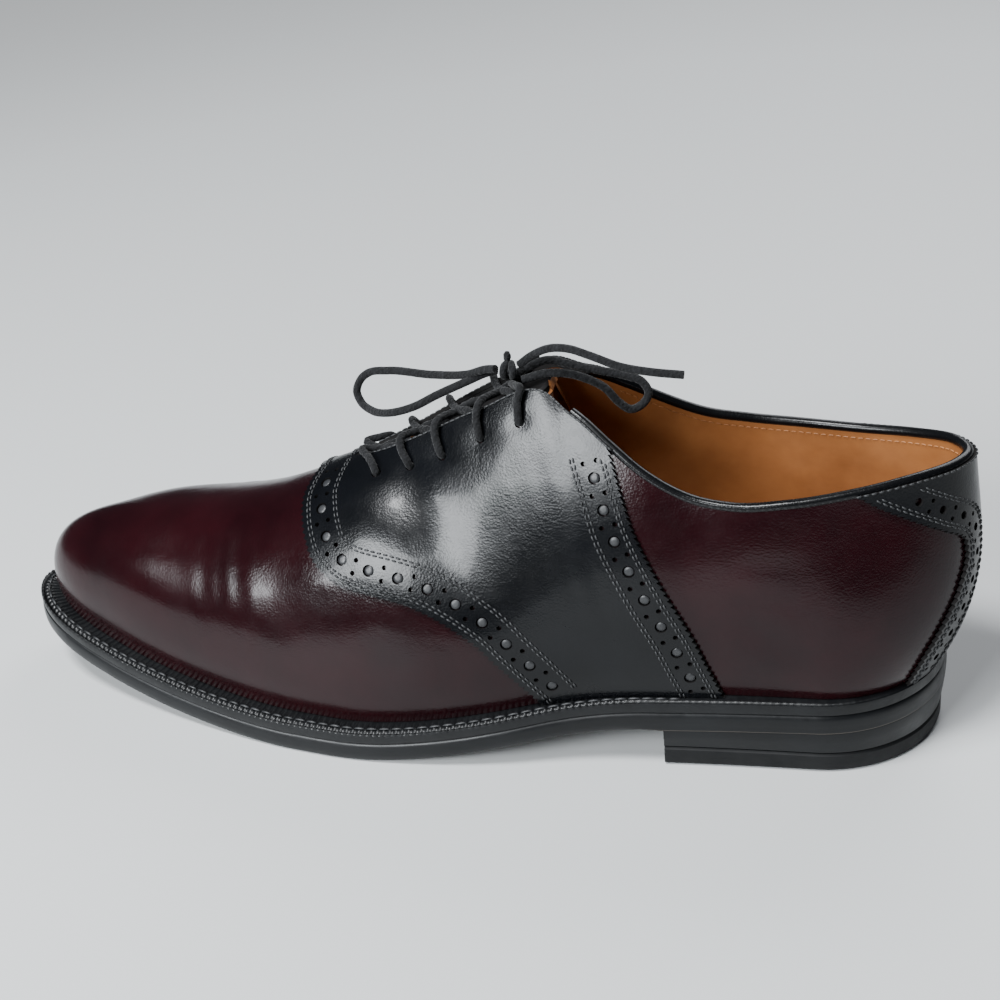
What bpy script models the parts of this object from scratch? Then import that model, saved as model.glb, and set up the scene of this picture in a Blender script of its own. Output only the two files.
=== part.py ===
# Left saddle shoe: a hollow lasted leather upper with a brogued saddle and a back strap,
# on a welted leather sole with a stacked heel, laced and tied.
# Metres, +Z up, toe towards -X, outer (lateral) side towards -Y, origin on the floor under the heel.
import math

import bmesh
import bpy
import numpy as np

# Sizes of the sole. u is the distance forward from the back of the sole, so x = REST_FROM_BACK - u.
SOLE_LENGTH = 0.312
SOLE_WIDTH = 0.106
TOE_SHIFT = 0.009
HEEL_ROUND = 0.0387
TOE_ROUND = 0.109
REST_FROM_BACK = 0.042
HEEL_BREAST = 0.0845
HEEL_HEIGHT = 0.0136
HEEL_RISE = 0.0023
HEEL_TAPER = 0.0011
TOP_LIFT = 0.0064
TOE_SPRING = 0.0175
TREAD_START = 0.187
TREAD_END = 0.206
OUTSOLE_THICK = 0.0065
WELT_THICK = 0.0037
WELT_MARGIN = 0.0070
WELT_INSIDE = 0.0080
EDGE_CHAMFER = 0.0009
EDGE_INSET = 0.0003
INSOLE_THICK = 0.0032
FIT_GAP = 0.0003
OVERLAY_GAP = 0.0004

# Sizes of the upper and what is sewn on it
WALL = 0.0022
INSTEP_HEIGHT = 0.1135
SADDLE_THICK = 0.0012
STRAP_THICK = 0.0010
BINDING_HEIGHT = 0.0022
BINDING_OVERHANG = 0.0005
BINDING_END = 0.340
FACING_CORNER = 0.355
TONGUE_THICK = 0.0026
TONGUE_GAP = 0.0005
TONGUE_CROWN = 0.0005
TONGUE_RISE = 0.0040

# Sizes of the lace
LACE_RADIUS = 0.00130
KNOT_RADIUS = 0.0022
LACE_CROWN = 0.0005
STRAND_CLEAR = 0.0007
STRAND_REACH = 0.40

# Half widths of the sole from its centre line, as shares of SOLE_WIDTH, by share of SOLE_LENGTH
OUTLINE = {
    "share": (0.00, 0.13, 0.27, 0.36, 0.44, 0.52, 0.60, 0.66, 0.73, 0.80, 0.86, 0.90, 0.96, 1.00),
    "lateral": (0.365, 0.366, 0.379, 0.397, 0.439, 0.460, 0.466, 0.452, 0.430, 0.412, 0.402, 0.399, 0.406, 0.406),
    "medial": (0.355, 0.352, 0.315, 0.265, 0.262, 0.341, 0.442, 0.487, 0.508, 0.492, 0.460, 0.428, 0.368, 0.358),
}

# Welt that shows outside the upper, as shares of WELT_MARGIN
MARGINS = {
    "share": (0.00, 0.08, 0.20, 0.32, 0.44, 0.56, 0.70, 0.85, 1.00),
    "lateral": (0.22, 0.40, 0.62, 0.70, 0.85, 0.95, 1.00, 1.00, 1.05),
    "medial": (0.22, 0.30, 0.32, 0.28, 0.35, 0.65, 0.90, 1.00, 1.05),
}

# Ridge of the vamp from the throat to the top of the toe: places as shares of SOLE_LENGTH and of
# SOLE_WIDTH, heights as shares of INSTEP_HEIGHT
RIDGE = {
    "along": (0.5000, 0.5450, 0.5865, 0.6090, 0.6346, 0.6635, 0.6987, 0.7372, 0.7853, 0.8333, 0.8750),
    "across": (0.0236, 0.0236, 0.0236, 0.0245, 0.0264, 0.0283, 0.0340, 0.0396, 0.0491, 0.0585, 0.0640),
    "height": (0.850, 0.785, 0.738, 0.712, 0.682, 0.648, 0.610, 0.580, 0.554, 0.537, 0.524),
}

# Stations of the throat's bottom, of the lean's fading and of the top of the toe, where the sections
# meet in one point, with the first and last one's places along the sole
THROAT = 0.530
THROAT_ALONG = 0.5968
LEAN_FADE = 0.450
TOE_POLE = 0.760
POLE_ALONG = 0.8333

# Top edge of the upper, by station: collar, rounded facing corner, facing and throat.
# A station is the share of the way along the upper's lower edge, from the heel's back to the toe's tip.
TOP = {
    "station": (0.00, 0.05, 0.10, 0.15, 0.20, 0.24, 0.27, 0.295, 0.315, 0.335, 0.355, 0.40, 0.45, 0.49, 0.515, 0.530),
    "along": (-0.0135, 0.0016, 0.0385, 0.0897, 0.1506, 0.2051, 0.2500, 0.2917, 0.3237, 0.3526, 0.3846, 0.4519,
              0.5224, 0.5705, 0.5913, 0.5968),
    "across": (0.000, 0.099, 0.179, 0.236, 0.269, 0.272, 0.255, 0.231, 0.193, 0.151, 0.104, 0.080,
               0.054, 0.028, 0.010, 0.000),
    "lateral_height": (0.834, 0.838, 0.834, 0.815, 0.792, 0.780, 0.798, 0.855, 0.915, 0.968, 1.000, 0.929,
                       0.826, 0.757, 0.733, 0.725),
    "medial_height": (0.834, 0.825, 0.802, 0.783, 0.780, 0.790, 0.815, 0.868, 0.925, 0.974, 1.000, 0.929,
                      0.826, 0.757, 0.733, 0.725),
}

# How a section leaves the welt (flare in degrees from upright) and reaches its top edge (lean in
# degrees from level), with the reach of both ends as shares of the section's chord
PROFILE = {
    "station": (0.00, 0.10, 0.20, 0.30, 0.40, 0.50, 0.60, 0.70, 0.80, 0.90, 1.00),
    "lateral_flare": (29.0, 20.0, 10.0, 8.0, 8.0, 12.0, 14.0, 14.0, 12.0, 10.0, 10.0),
    "medial_flare": (29.0, 18.0, 10.0, 10.0, 14.0, 12.0, 10.0, 10.0, 10.0, 10.0, 10.0),
    "low": (0.40, 0.38, 0.36, 0.34, 0.32, 0.33, 0.36, 0.38, 0.40, 0.42, 0.43),
    "lean": (84.0, 80.0, 74.0, 62.0, 44.0, 24.0, 0.00, 0.00, 0.00, 0.00, 0.00),
    "high": (0.36, 0.34, 0.34, 0.36, 0.38, 0.40, 0.42, 0.44, 0.46, 0.49, 0.52),
}

# Front and rear edge of the saddle and front edge of the back strap: station by height v,
# where v runs from 0 at the welt to 1 at the top edge
SADDLE_EDGES = {
    "v": (0.00, 0.10, 0.20, 0.30, 0.40, 0.49, 0.56, 0.68, 0.76, 0.86, 0.93, 1.00),
    "front": (0.417, 0.434, 0.452, 0.472, 0.512, 0.580, 0.600, 0.608, 0.606, 0.598, 0.586, 0.572),
    "rear": (0.249, 0.256, 0.263, 0.269, 0.276, 0.283, 0.288, 0.296, 0.301, 0.305, 0.308, 0.312),
}
STRAP_EDGE = {
    "v": (0.00, 0.15, 0.28, 0.45, 0.60, 0.68, 0.74, 0.83, 0.92, 1.00),
    "front": (0.086, 0.077, 0.066, 0.051, 0.044, 0.051, 0.074, 0.106, 0.133, 0.152),
}

# Heights of the rows, and columns between one line and the next from the heel's back to the toe's tip,
# that the upper, saddle, back strap, binding and tongue share, so that their faces lie alike
ROWS = np.array([0.0, 0.08, 0.16, 0.25, 0.34, 0.43, 0.52, 0.61, 0.70, 0.78, 0.85, 0.92, 1.0])
TONGUE_ROWS = 4
COLUMN_STEPS = {"strap": 6, "rear": 8, "binding": 2, "corner": 1, "throat": 12, "front": 3, "pole": 9, "toe": 7}

# Eyelets of each facing, from the throat up: station and height v
EYELETS = ((0.510, 0.880), (0.467, 0.910), (0.437, 0.912), (0.405, 0.920), (0.375, 0.924))

# Routes of the tied lace, chosen by hand: distance from the sole's back, place across, height
KNOT_ROUTE = ((0.1335, 0.0000, 0.1150), (0.1335, 0.0020, 0.1152), (0.1335, 0.0042, 0.1151))
FRONT_LOOP = (
    (0.1376, 0.0012, 0.1158), (0.1410, 0.0030, 0.1148), (0.1475, 0.0060, 0.1116), (0.1608, 0.0110, 0.1087),
    (0.1765, 0.0150, 0.1079), (0.1835, 0.0164, 0.1064), (0.1868, 0.0170, 0.1036), (0.1885, 0.0166, 0.0992),
    (0.1868, 0.0150, 0.0962), (0.1830, 0.0120, 0.0952), (0.1760, 0.0070, 0.0968), (0.1662, 0.0045, 0.1005),
    (0.1580, 0.0042, 0.1050), (0.1478, 0.0052, 0.1096), (0.1425, 0.0056, 0.1120), (0.1385, 0.0057, 0.1133),
)
BACK_LOOP = (
    (0.1293, 0.0045, 0.1144), (0.1226, 0.0070, 0.1164), (0.1160, 0.0082, 0.1146), (0.1092, 0.0090, 0.1126),
    (0.0987, 0.0100, 0.1100), (0.0940, 0.0094, 0.1085), (0.0920, 0.0085, 0.1050), (0.0936, 0.0070, 0.1022),
    (0.0971, 0.0050, 0.1012), (0.1002, 0.0040, 0.1037), (0.1047, 0.0030, 0.1095), (0.1090, 0.0024, 0.1122),
    (0.1147, 0.0020, 0.1142), (0.1220, 0.0012, 0.1147), (0.1293, 0.0002, 0.1128),
)
LONG_END = (
    (0.1300, 0.0008, 0.1176), (0.1260, 0.0004, 0.1208), (0.1191, -0.0020, 0.1246), (0.1130, -0.0042, 0.1254),
    (0.1072, -0.0060, 0.1244), (0.0969, -0.0080, 0.1216), (0.0885, -0.0090, 0.1207), (0.0785, -0.0090, 0.1199),
)
SHORT_END = ((0.1338, 0.0026, 0.1178), (0.1341, 0.0029, 0.1192), (0.1339, 0.0032, 0.1208))


def smooth(places, values, at):
    """Cubic curve through the points of a table."""
    places = np.asarray(places, float)
    values = np.asarray(values, float)
    at = np.asarray(at, float)
    slopes = np.gradient(values, places)
    i = np.clip(np.searchsorted(places, at, side="right") - 1, 0, len(places) - 2)
    step = places[i + 1] - places[i]
    q = np.clip((at - places[i]) / step, 0.0, 1.0)
    start = (1 + 2 * q) * (1 - q) ** 2 * values[i] + q * (1 - q) ** 2 * step * slopes[i]
    end = q * q * (3 - 2 * q) * values[i + 1] + q * q * (q - 1) * step * slopes[i + 1]
    return start + end


def ease(q):
    """Soft step from 0 to 1."""
    q = np.clip(q, 0.0, 1.0)
    return q * q * (3 - 2 * q)


def sole_edge(u, side):
    """Sideways place of the sole's edge. Side is -1 on the lateral side and 1 on the medial side."""
    share = u / SOLE_LENGTH
    half = smooth(OUTLINE["share"], OUTLINE["lateral" if side < 0 else "medial"], share) * SOLE_WIDTH
    back = 1 - np.clip(u / HEEL_ROUND, 0, 1)
    front = 1 - np.clip((SOLE_LENGTH - u) / TOE_ROUND, 0, 1)
    rounding = np.sqrt(np.clip(1 - back ** 2, 0, 1)) * np.sqrt(np.clip(1 - front ** 2, 0, 1))
    return TOE_SHIFT * ease((share - 0.45) / 0.55) + side * half * rounding


def outsole_bottom(u):
    """Height of the outsole's underside: sloped on the heel, falling to the tread, rising to the toe."""
    u = np.clip(u, 0, SOLE_LENGTH)
    heel = HEEL_HEIGHT + HEEL_RISE * np.clip(1 - u / HEEL_BREAST, 0, 1)
    shank = HEEL_HEIGHT * (1 - ease((u - HEEL_BREAST) / (TREAD_START - HEEL_BREAST)))
    toe = TOE_SPRING * (np.clip(u - TREAD_END, 0, None) / (SOLE_LENGTH - TREAD_END)) ** 1.8
    return np.where(u < HEEL_BREAST, heel, shank) + toe


def outsole_top(u):
    return outsole_bottom(u) + OUTSOLE_THICK


def welt_bottom(u):
    return outsole_top(u) + FIT_GAP


def welt_top(u):
    return welt_bottom(u) + WELT_THICK


# Fine points along the sole, crowded at both round ends
FINE_U = SOLE_LENGTH * (1 - np.cos(np.linspace(0, math.pi, 1601))) / 2


def inset_side(side, inset):
    """Points (u, y) and outward normals of one side of the sole, moved inward by an inset."""
    points = np.stack([FINE_U, sole_edge(FINE_U, side)], 1)
    along = np.gradient(points, axis=0)
    along[0] = (0, side)
    along[-1] = (0, -side)
    along /= np.linalg.norm(along, axis=1)[:, None]
    normal = np.stack([-side * along[:, 1], side * along[:, 0]], 1)
    return points - normal * np.broadcast_to(inset, FINE_U.shape)[:, None], normal


def margin(side):
    """Inset of the upper's lower edge from the sole's edge."""
    share = smooth(MARGINS["share"], MARGINS["lateral" if side < 0 else "medial"], FINE_U / SOLE_LENGTH)
    return share * WELT_MARGIN


def measure(points):
    """Share of the way along a line of points."""
    length = np.concatenate([[0], np.cumsum(np.linalg.norm(np.diff(points, axis=0), axis=1))])
    return length / length[-1]


LOWER_EDGE = {side: inset_side(side, margin(side)) for side in (-1, 1)}
LOWER_SHARE = {side: measure(LOWER_EDGE[side][0]) for side in (-1, 1)}


def signed(table, lateral, medial, mirror=1.0):
    """Table over signed stations, lateral above zero and medial below."""
    s = np.asarray(table["station"], float)
    near = np.asarray(table[lateral], float)
    far = mirror * np.asarray(table[medial], float)
    return np.concatenate([-s[:0:-1], s]), np.concatenate([far[:0:-1], near])


def profile(station, lateral, medial):
    """A column of PROFILE, smooth across the heel and round the toe."""
    s, values = signed(PROFILE, lateral, medial)
    s = np.concatenate([s[-3:-1] - 2, s, s[1:3] + 2])
    values = np.concatenate([values[-3:-1], values, values[1:3]])
    return smooth(s, values, station)


def ridge(u):
    """Place across and height of the vamp's ridge."""
    share = u / SOLE_LENGTH
    across = smooth(RIDGE["along"], RIDGE["across"], share) * SOLE_WIDTH
    return across, smooth(RIDGE["along"], RIDGE["height"], share) * INSTEP_HEIGHT


def lower_point(station):
    """Lower edge of the upper and its outward direction."""
    a = np.abs(station)
    point = np.zeros(a.shape + (3,))
    outward = np.zeros(a.shape + (3,))
    for side in (-1, 1):
        use = (station >= 0) if side < 0 else (station < 0)
        points, normal = LOWER_EDGE[side]
        for k in (0, 1):
            point[..., k] = np.where(use, np.interp(a, LOWER_SHARE[side], points[:, k]), point[..., k])
            outward[..., k] = np.where(use, np.interp(a, LOWER_SHARE[side], normal[:, k]), outward[..., k])
    point[..., 2] = welt_top(point[..., 0]) + FIT_GAP
    return point, outward


def top_point(station):
    """Upper edge of a section: collar less its binding, facing, ridge of the vamp or pole of the toe."""
    a = np.abs(station)
    s, along = signed(TOP, "along", "along")
    across = signed(TOP, "across", "across", -1.0)[1]
    height = signed(TOP, "lateral_height", "medial_height")[1]
    here = np.clip(station, -THROAT, THROAT)
    bound = 1 - ease((a - BINDING_END) / 0.02)
    open_u = smooth(s, along, here) * SOLE_LENGTH
    open_y = RIDGE["across"][0] * SOLE_WIDTH * ease(a / THROAT) - smooth(s, across, here) * SOLE_WIDTH
    open_z = smooth(s, height, here) * INSTEP_HEIGHT - bound * (BINDING_HEIGHT + FIT_GAP)
    run = np.clip((a - THROAT) / (TOE_POLE - THROAT), 0, 1)
    ridge_u = (THROAT_ALONG + (POLE_ALONG - THROAT_ALONG) * run) * SOLE_LENGTH
    ridge_y, ridge_z = ridge(ridge_u)
    ahead = a >= THROAT
    return np.stack([np.where(ahead, ridge_u, open_u), np.where(ahead, ridge_y, open_y),
                     np.where(ahead, ridge_z, open_z)], -1)


def ridge_slope(u):
    step = 0.001
    return (ridge(u + step)[1] - ridge(u - step)[1]) / (2 * step)


def surface(station, v):
    """Outer face of the upper as (u, y, z). v runs from 0 at the welt to 1 at the top edge."""
    station = (np.asarray(station, float) + 1.0) % 2.0 - 1.0
    v = np.clip(v, 0.0, 1.0)[..., None]
    base, out = lower_point(station)
    top = top_point(station)
    a = np.abs(station)
    up = np.array([0.0, 0.0, 1.0])
    flare = np.radians(profile(station, "lateral_flare", "medial_flare"))[..., None]
    flatten = 1 - ease((a - LEAN_FADE) / (THROAT - LEAN_FADE))
    lean = (np.radians(profile(station, "lean", "lean")) * flatten)[..., None]
    chord = np.linalg.norm(top - base, axis=-1)[..., None]
    level = (top - base) * (1.0, 1.0, 0.0)
    level /= np.linalg.norm(level, axis=-1)[..., None] + 1e-9
    turn = ease((a - 0.28) / 0.22)[..., None]
    inward = level * turn - out * (1 - turn)
    inward /= np.linalg.norm(inward, axis=-1)[..., None]
    ramp = (ease((a - LEAN_FADE) / (THROAT - LEAN_FADE)) * ridge_slope(top[..., 0]) * inward[..., 0])[..., None]
    low = base + (out * np.sin(flare) + up * np.cos(flare)) * chord * profile(station, "low", "low")[..., None]
    high = inward * np.cos(lean) + up * (np.sin(lean) + ramp)
    high = top - high * chord * profile(station, "high", "high")[..., None]
    w = 1 - v
    return base * w ** 3 + 3 * low * w * w * v + 3 * high * w * v * v + top * v ** 3


def normal_at(station, v):
    """Outward normal of the upper's outer face."""
    station, v = np.broadcast_arrays(np.asarray(station, float), np.asarray(v, float))
    step = 0.002
    inside = np.clip(v, 0.0, 0.985)
    along = surface(station + step, inside) - surface(station - step, inside)
    rise = surface(station, np.clip(inside + step, 0, 1)) - surface(station, np.clip(inside - step, 0, 1))
    normal = np.cross(along, rise)
    slope = ridge_slope(top_point(station)[..., 0])
    crest = np.stack([-slope, np.zeros_like(slope), np.ones_like(slope)], -1)
    on_ridge = (np.abs(station) >= THROAT) & (v > 0.985)
    normal = np.where(on_ridge[..., None], crest, normal)
    normal[..., 2] = np.where(v > 0, normal[..., 2], 0.0)
    return normal / np.linalg.norm(normal, axis=-1)[..., None]


def lifted(station, v, lift):
    """Point of the upper moved off its outer face by a lift."""
    return surface(station, v) + normal_at(station, v) * lift


def world(points):
    """Points (u, y, z) in the part's frame."""
    points = np.array(points, float)
    points[..., 0] = REST_FROM_BACK - points[..., 0]
    return points


def material(name, color, roughness, metallic=0.0):
    made = bpy.data.materials.new(name)
    made.use_nodes = True
    shader = made.node_tree.nodes["Principled BSDF"]
    shader.inputs["Base Color"].default_value = (*color, 1.0)
    shader.inputs["Roughness"].default_value = roughness
    shader.inputs["Metallic"].default_value = metallic
    return made


def add_mesh(name, points, faces, made):
    """One object from points (u, y, z) and faces, with its faces turned outward."""
    mesh = bpy.data.meshes.new(name)
    mesh.from_pydata([tuple(p) for p in world(points)], [], faces)
    piece = bpy.data.objects.new(name, mesh)
    bpy.context.collection.objects.link(piece)
    shape = bmesh.new()
    shape.from_mesh(mesh)
    bmesh.ops.recalc_face_normals(shape, faces=shape.faces[:])
    shape.to_mesh(mesh)
    shape.free()
    mesh.shade_smooth()
    mesh.set_sharp_from_angle(angle=math.radians(35))
    mesh.materials.append(made)
    return piece


def grid_faces(columns, rows, offset=0):
    """Triangles of a grid of points that lie column after column."""
    faces = []
    for i in range(columns - 1):
        for j in range(rows - 1):
            a = offset + i * rows + j
            faces += [(a, a + rows, a + rows + 1), (a, a + rows + 1, a + 1)]
    return faces


def thick_sheet(name, points, normals, faces, low_lift, high_lift, made):
    """A wall between two lifts of one sheet, with a rim along each open edge."""
    first = {}
    place = []
    kept = []
    direction = []
    for point, normal in zip(points, normals):
        key = tuple(np.round(point, 6))
        if key not in first:
            first[key] = len(kept)
            kept.append(point)
            direction.append(np.zeros(3))
        direction[first[key]] = direction[first[key]] + normal
        place.append(first[key])
    kept = np.array(kept)
    direction = np.array(direction)
    direction /= np.linalg.norm(direction, axis=1)[:, None]
    count = len(kept)
    outer = []
    for face in faces:
        corners = []
        for corner in (place[k] for k in face):
            if corner not in corners:
                corners.append(corner)
        if len(corners) > 2:
            outer.append(tuple(corners))
    edges = {(f[k], f[(k + 1) % len(f)]) for f in outer for k in range(len(f))}
    rims = [(b, a, a + count, b + count) for a, b in sorted(edges) if (b, a) not in edges]
    inner = [tuple(k + count for k in reversed(f)) for f in outer]
    solid = np.concatenate([kept + direction * high_lift, kept + direction * low_lift])
    return add_mesh(name, solid, outer + inner + rims, made)


def column_grid():
    """Stations of one side's columns at each row, and the column that lies on each named line."""
    strap = smooth(STRAP_EDGE["v"], STRAP_EDGE["front"], ROWS)
    rear = smooth(SADDLE_EDGES["v"], SADDLE_EDGES["rear"], ROWS)
    front = smooth(SADDLE_EDGES["v"], SADDLE_EDGES["front"], ROWS)
    across = (front - rear) / (front[-1] - rear[-1])
    lines = {
        "strap": strap,
        "rear": rear,
        "binding": rear + across * (BINDING_END - rear[-1]),
        "corner": rear + across * (FACING_CORNER - rear[-1]),
        "throat": rear + across * (THROAT - rear[-1]),
        "front": front,
        "pole": np.full(len(ROWS), TOE_POLE),
        "toe": np.ones(len(ROWS)),
    }
    columns = [np.zeros(len(ROWS))]
    place = {"heel": 0}
    for name, line in lines.items():
        before = columns[-1]
        steps = COLUMN_STEPS[name]
        for k in range(1, steps + 1):
            columns.append(before + (line - before) * k / steps)
        place[name] = len(columns) - 1
    return np.array(columns), place


COLUMNS, LINE = column_grid()


def both_sides(first, last, rows=len(ROWS)):
    """Points, normals and faces of both sides from one named line to another, over the top rows."""
    points = []
    normals = []
    faces = []
    for sign in (1, -1):
        station = sign * COLUMNS[LINE[first]:LINE[last] + 1, -rows:][::sign]
        v = np.broadcast_to(ROWS[-rows:], station.shape)
        faces += grid_faces(len(station), rows, len(points) * station.size)
        points.append(surface(station, v).reshape(-1, 3))
        normals.append(normal_at(station, v).reshape(-1, 3))
    return np.concatenate(points), np.concatenate(normals), faces


def make_upper():
    points, normals, faces = both_sides("heel", "toe")
    return thick_sheet("upper", points, normals, faces, -WALL, 0.0,
                       material("burgundy_leather", (0.045, 0.012, 0.016), 0.28))


def make_saddle():
    """Overlay across the instep, from its rear edge to its front edge on both sides."""
    points, normals, faces = both_sides("rear", "front")
    return thick_sheet("saddle", points, normals, faces, OVERLAY_GAP, OVERLAY_GAP + SADDLE_THICK,
                       material("black_leather", (0.012, 0.013, 0.015), 0.25))


def make_backstay():
    """Strap up the heel's back that widens into a wing on each side below the collar."""
    points, normals, faces = both_sides("heel", "strap")
    return thick_sheet("backstay", points, normals, faces, OVERLAY_GAP, OVERLAY_GAP + STRAP_THICK,
                       material("strap_leather", (0.012, 0.013, 0.015), 0.30))


def make_binding():
    """Rounded binding that sits on the collar's edge, from one facing corner round to the other."""
    side = COLUMNS[:LINE["binding"] + 1, -1]
    stations = np.concatenate([-side[:0:-1], side])
    edge = lifted(stations, np.ones_like(stations), -WALL / 2)
    across = normal_at(stations, np.ones_like(stations))
    along = np.gradient(edge, axis=0)
    along /= np.linalg.norm(along, axis=1)[:, None]
    upright = np.cross(across, along)
    upright *= np.sign(upright[:, 2])[:, None]
    upright /= np.linalg.norm(upright, axis=1)[:, None]
    half = WALL / 2 + BINDING_OVERHANG
    section = [(-half, 0.0), (-half, 0.55), (-0.6 * half, 0.9), (0.0, 1.0), (0.6 * half, 0.9), (half, 0.55), (half, 0.0)]
    rings = []
    for side, rise in section:
        rings.append(edge + across * side + upright * (FIT_GAP + rise * BINDING_HEIGHT))
    points = np.stack(rings, 1).reshape(-1, 3)
    count = len(section)
    faces = []
    for i in range(len(stations) - 1):
        for j in range(count):
            a = i * count + j
            b = i * count + (j + 1) % count
            faces.append((a, a + count, b + count, b))
    faces.append(tuple(range(count)))
    faces.append(tuple(range(len(points) - 1, len(points) - count - 1, -1)))
    return add_mesh("collar_binding", points, faces, material("binding_leather", (0.010, 0.010, 0.012), 0.35))


def tongue_rows():
    """Rows of points across the tongue, from below its free top to its sewn end under the vamp."""
    heights = ROWS[-TONGUE_ROWS:]
    middle = np.array([0.25, 0.5, 0.75])
    rows = []
    for column in COLUMNS[LINE["corner"] + 1:LINE["front"] + 1, -TONGUE_ROWS:]:
        near = surface(column, heights)
        far = surface(-column, heights)
        near_n = normal_at(column, heights)
        far_n = normal_at(-column, heights)
        crest = near_n[-1] + far_n[-1]
        crest /= np.linalg.norm(crest)
        gap = far[-1] - near[-1]
        bridge = near[-1] + gap * middle[:, None]
        crown = TONGUE_CROWN * min(1.0, np.linalg.norm(gap) / WELT_MARGIN) * np.sin(math.pi * middle)
        bridge = bridge + crest * crown[:, None]
        points = np.concatenate([near, bridge, far[::-1]])
        normals = np.concatenate([near_n, np.tile(crest, (3, 1)), far_n[::-1]])
        rows.append((points, normals))
    return rows


def make_tongue():
    rows = tongue_rows()
    end, before = rows[0], rows[1]
    centre = len(end[0]) // 2
    run = end[0][centre] - before[0][centre]
    run /= np.linalg.norm(run)
    for share, narrow in ((0.55, 0.80), (1.0, 0.52)):
        points = end[0] + run * TONGUE_RISE * share
        points = points[centre] + (points - points[centre]) * narrow
        rows.insert(0, (points, end[1]))
    points = np.concatenate([r[0] for r in rows])
    normals = np.concatenate([r[1] for r in rows])
    faces = grid_faces(len(rows), len(end[0]))
    top = -WALL - TONGUE_GAP
    return thick_sheet("tongue", points, normals, faces, top - TONGUE_THICK, top,
                       material("tongue_leather", (0.015, 0.013, 0.014), 0.45))


def ring_index(count):
    """Evenly spaced fine points along the lateral edge."""
    share = LOWER_SHARE[-1]
    return np.unique(np.clip(np.searchsorted(share, np.linspace(0, 1, count)), 0, len(share) - 1))


def loop(inset, height, index, limit=None):
    """Both sides of an inset outline, at a height; inset is a value or one array per side."""
    sides = []
    for side in (-1, 1):
        points, _ = inset_side(side, inset if np.isscalar(inset) else inset[side])
        line = points[index]
        if limit is not None:
            keep = line[line[:, 0] < limit - 1e-4]
            line = np.concatenate([keep, [[limit, np.interp(limit, points[:, 0], points[:, 1])]]])
        sides.append(np.column_stack([line, height(line[:, 0])]))
    return sides


def slab(name, loops, made, open_front=False):
    """Solid through loops from the bottom up, closed by strips across its underside and top."""
    count = len(loops[0][0])
    points = []
    for near, far in loops:
        points += [near, far]
    points = np.concatenate(points)
    faces = []
    size = 2 * count
    for k in range(len(loops) - 1):
        for i in range(count - 1):
            a = k * size + i
            faces.append((a, a + 1, a + size + 1, a + size))
            b = a + count
            faces.append((b, b + size, b + size + 1, b + 1))
        if open_front:
            a = k * size + count - 1
            faces.append((a, a + count, a + count + size, a + size))
    for k, turn in ((0, 1), (len(loops) - 1, -1)):
        for i in range(count - 1):
            a = k * size + i
            faces.append((a, a + count, a + count + 1, a + 1)[::turn])
    piece = add_mesh(name, points, faces, made)
    shape = bmesh.new()
    shape.from_mesh(piece.data)
    bmesh.ops.remove_doubles(shape, verts=shape.verts[:], dist=1e-6)
    bmesh.ops.recalc_face_normals(shape, faces=shape.faces[:])
    shape.to_mesh(piece.data)
    shape.free()
    return piece


def make_outsole():
    index = ring_index(42)
    loops = [
        loop(EDGE_CHAMFER, outsole_bottom, index),
        loop(0.0, lambda u: outsole_bottom(u) + EDGE_CHAMFER, index),
        loop(0.0, lambda u: outsole_top(u) - EDGE_INSET, index),
        loop(EDGE_INSET, outsole_top, index),
    ]
    return slab("outsole", loops, material("sole_leather", (0.014, 0.014, 0.015), 0.42))


def make_welt():
    """Ring between the outsole and the upper, with its outer edge just inside the outsole's."""
    index = ring_index(42)
    inner = {side: margin(side) + WELT_INSIDE for side in (-1, 1)}
    rings = []
    for inset, height in ((inner, welt_bottom), (EDGE_INSET, welt_bottom),
                          (EDGE_INSET, lambda u: welt_top(u) - EDGE_CHAMFER),
                          (EDGE_INSET + EDGE_CHAMFER, welt_top), (inner, welt_top)):
        near, far = loop(inset, height, index)
        rings.append(np.concatenate([near, far[-2:0:-1]]))
    count = len(rings[0])
    faces = []
    for k in range(len(rings)):
        for i in range(count):
            a = k * count + i
            b = k * count + (i + 1) % count
            size = ((k + 1) % len(rings) - k) * count
            faces.append((a, b, b + size, a + size))
    return add_mesh("welt", np.concatenate(rings), faces, material("welt_leather", (0.014, 0.014, 0.015), 0.5))


def make_insole():
    """Insole inside the upper, with the cork filling that fills the welt's ring."""
    index = ring_index(40)
    core = {side: margin(side) + WELT_INSIDE + FIT_GAP for side in (-1, 1)}
    edge = {side: margin(side) + WALL + 3 * FIT_GAP for side in (-1, 1)}
    seat = lambda u: welt_top(u) + FIT_GAP
    loops = [
        loop(core, welt_bottom, index),
        loop(core, seat, index),
        loop(edge, seat, index),
        loop(edge, lambda u: seat(u) + INSOLE_THICK, index),
    ]
    return slab("insole", loops, material("insole_leather", (0.42, 0.20, 0.08), 0.55))


def heel_loops(levels, index):
    loops = []
    for inset, height in levels:
        loops.append(loop(inset, height, index, HEEL_BREAST))
    return loops


def make_heel_stack():
    index = ring_index(42)
    foot = TOP_LIFT + FIT_GAP
    levels = (
        (HEEL_TAPER, lambda u: np.full_like(u, foot)),
        (EDGE_INSET, lambda u: outsole_bottom(u - 1e-6) - FIT_GAP),
    )
    made = material("stack_leather", (0.014, 0.014, 0.015), 0.42)
    return slab("heel_stack", heel_loops(levels, index), made, open_front=True)


def make_toplift():
    index = ring_index(42)
    levels = (
        (HEEL_TAPER + EDGE_CHAMFER, lambda u: np.zeros_like(u)),
        (HEEL_TAPER, lambda u: np.full_like(u, EDGE_CHAMFER)),
        (HEEL_TAPER, lambda u: np.full_like(u, TOP_LIFT)),
    )
    made = material("top_lift_rubber", (0.012, 0.012, 0.013), 0.6)
    return slab("toplift", heel_loops(levels, index), made, open_front=True)


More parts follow.
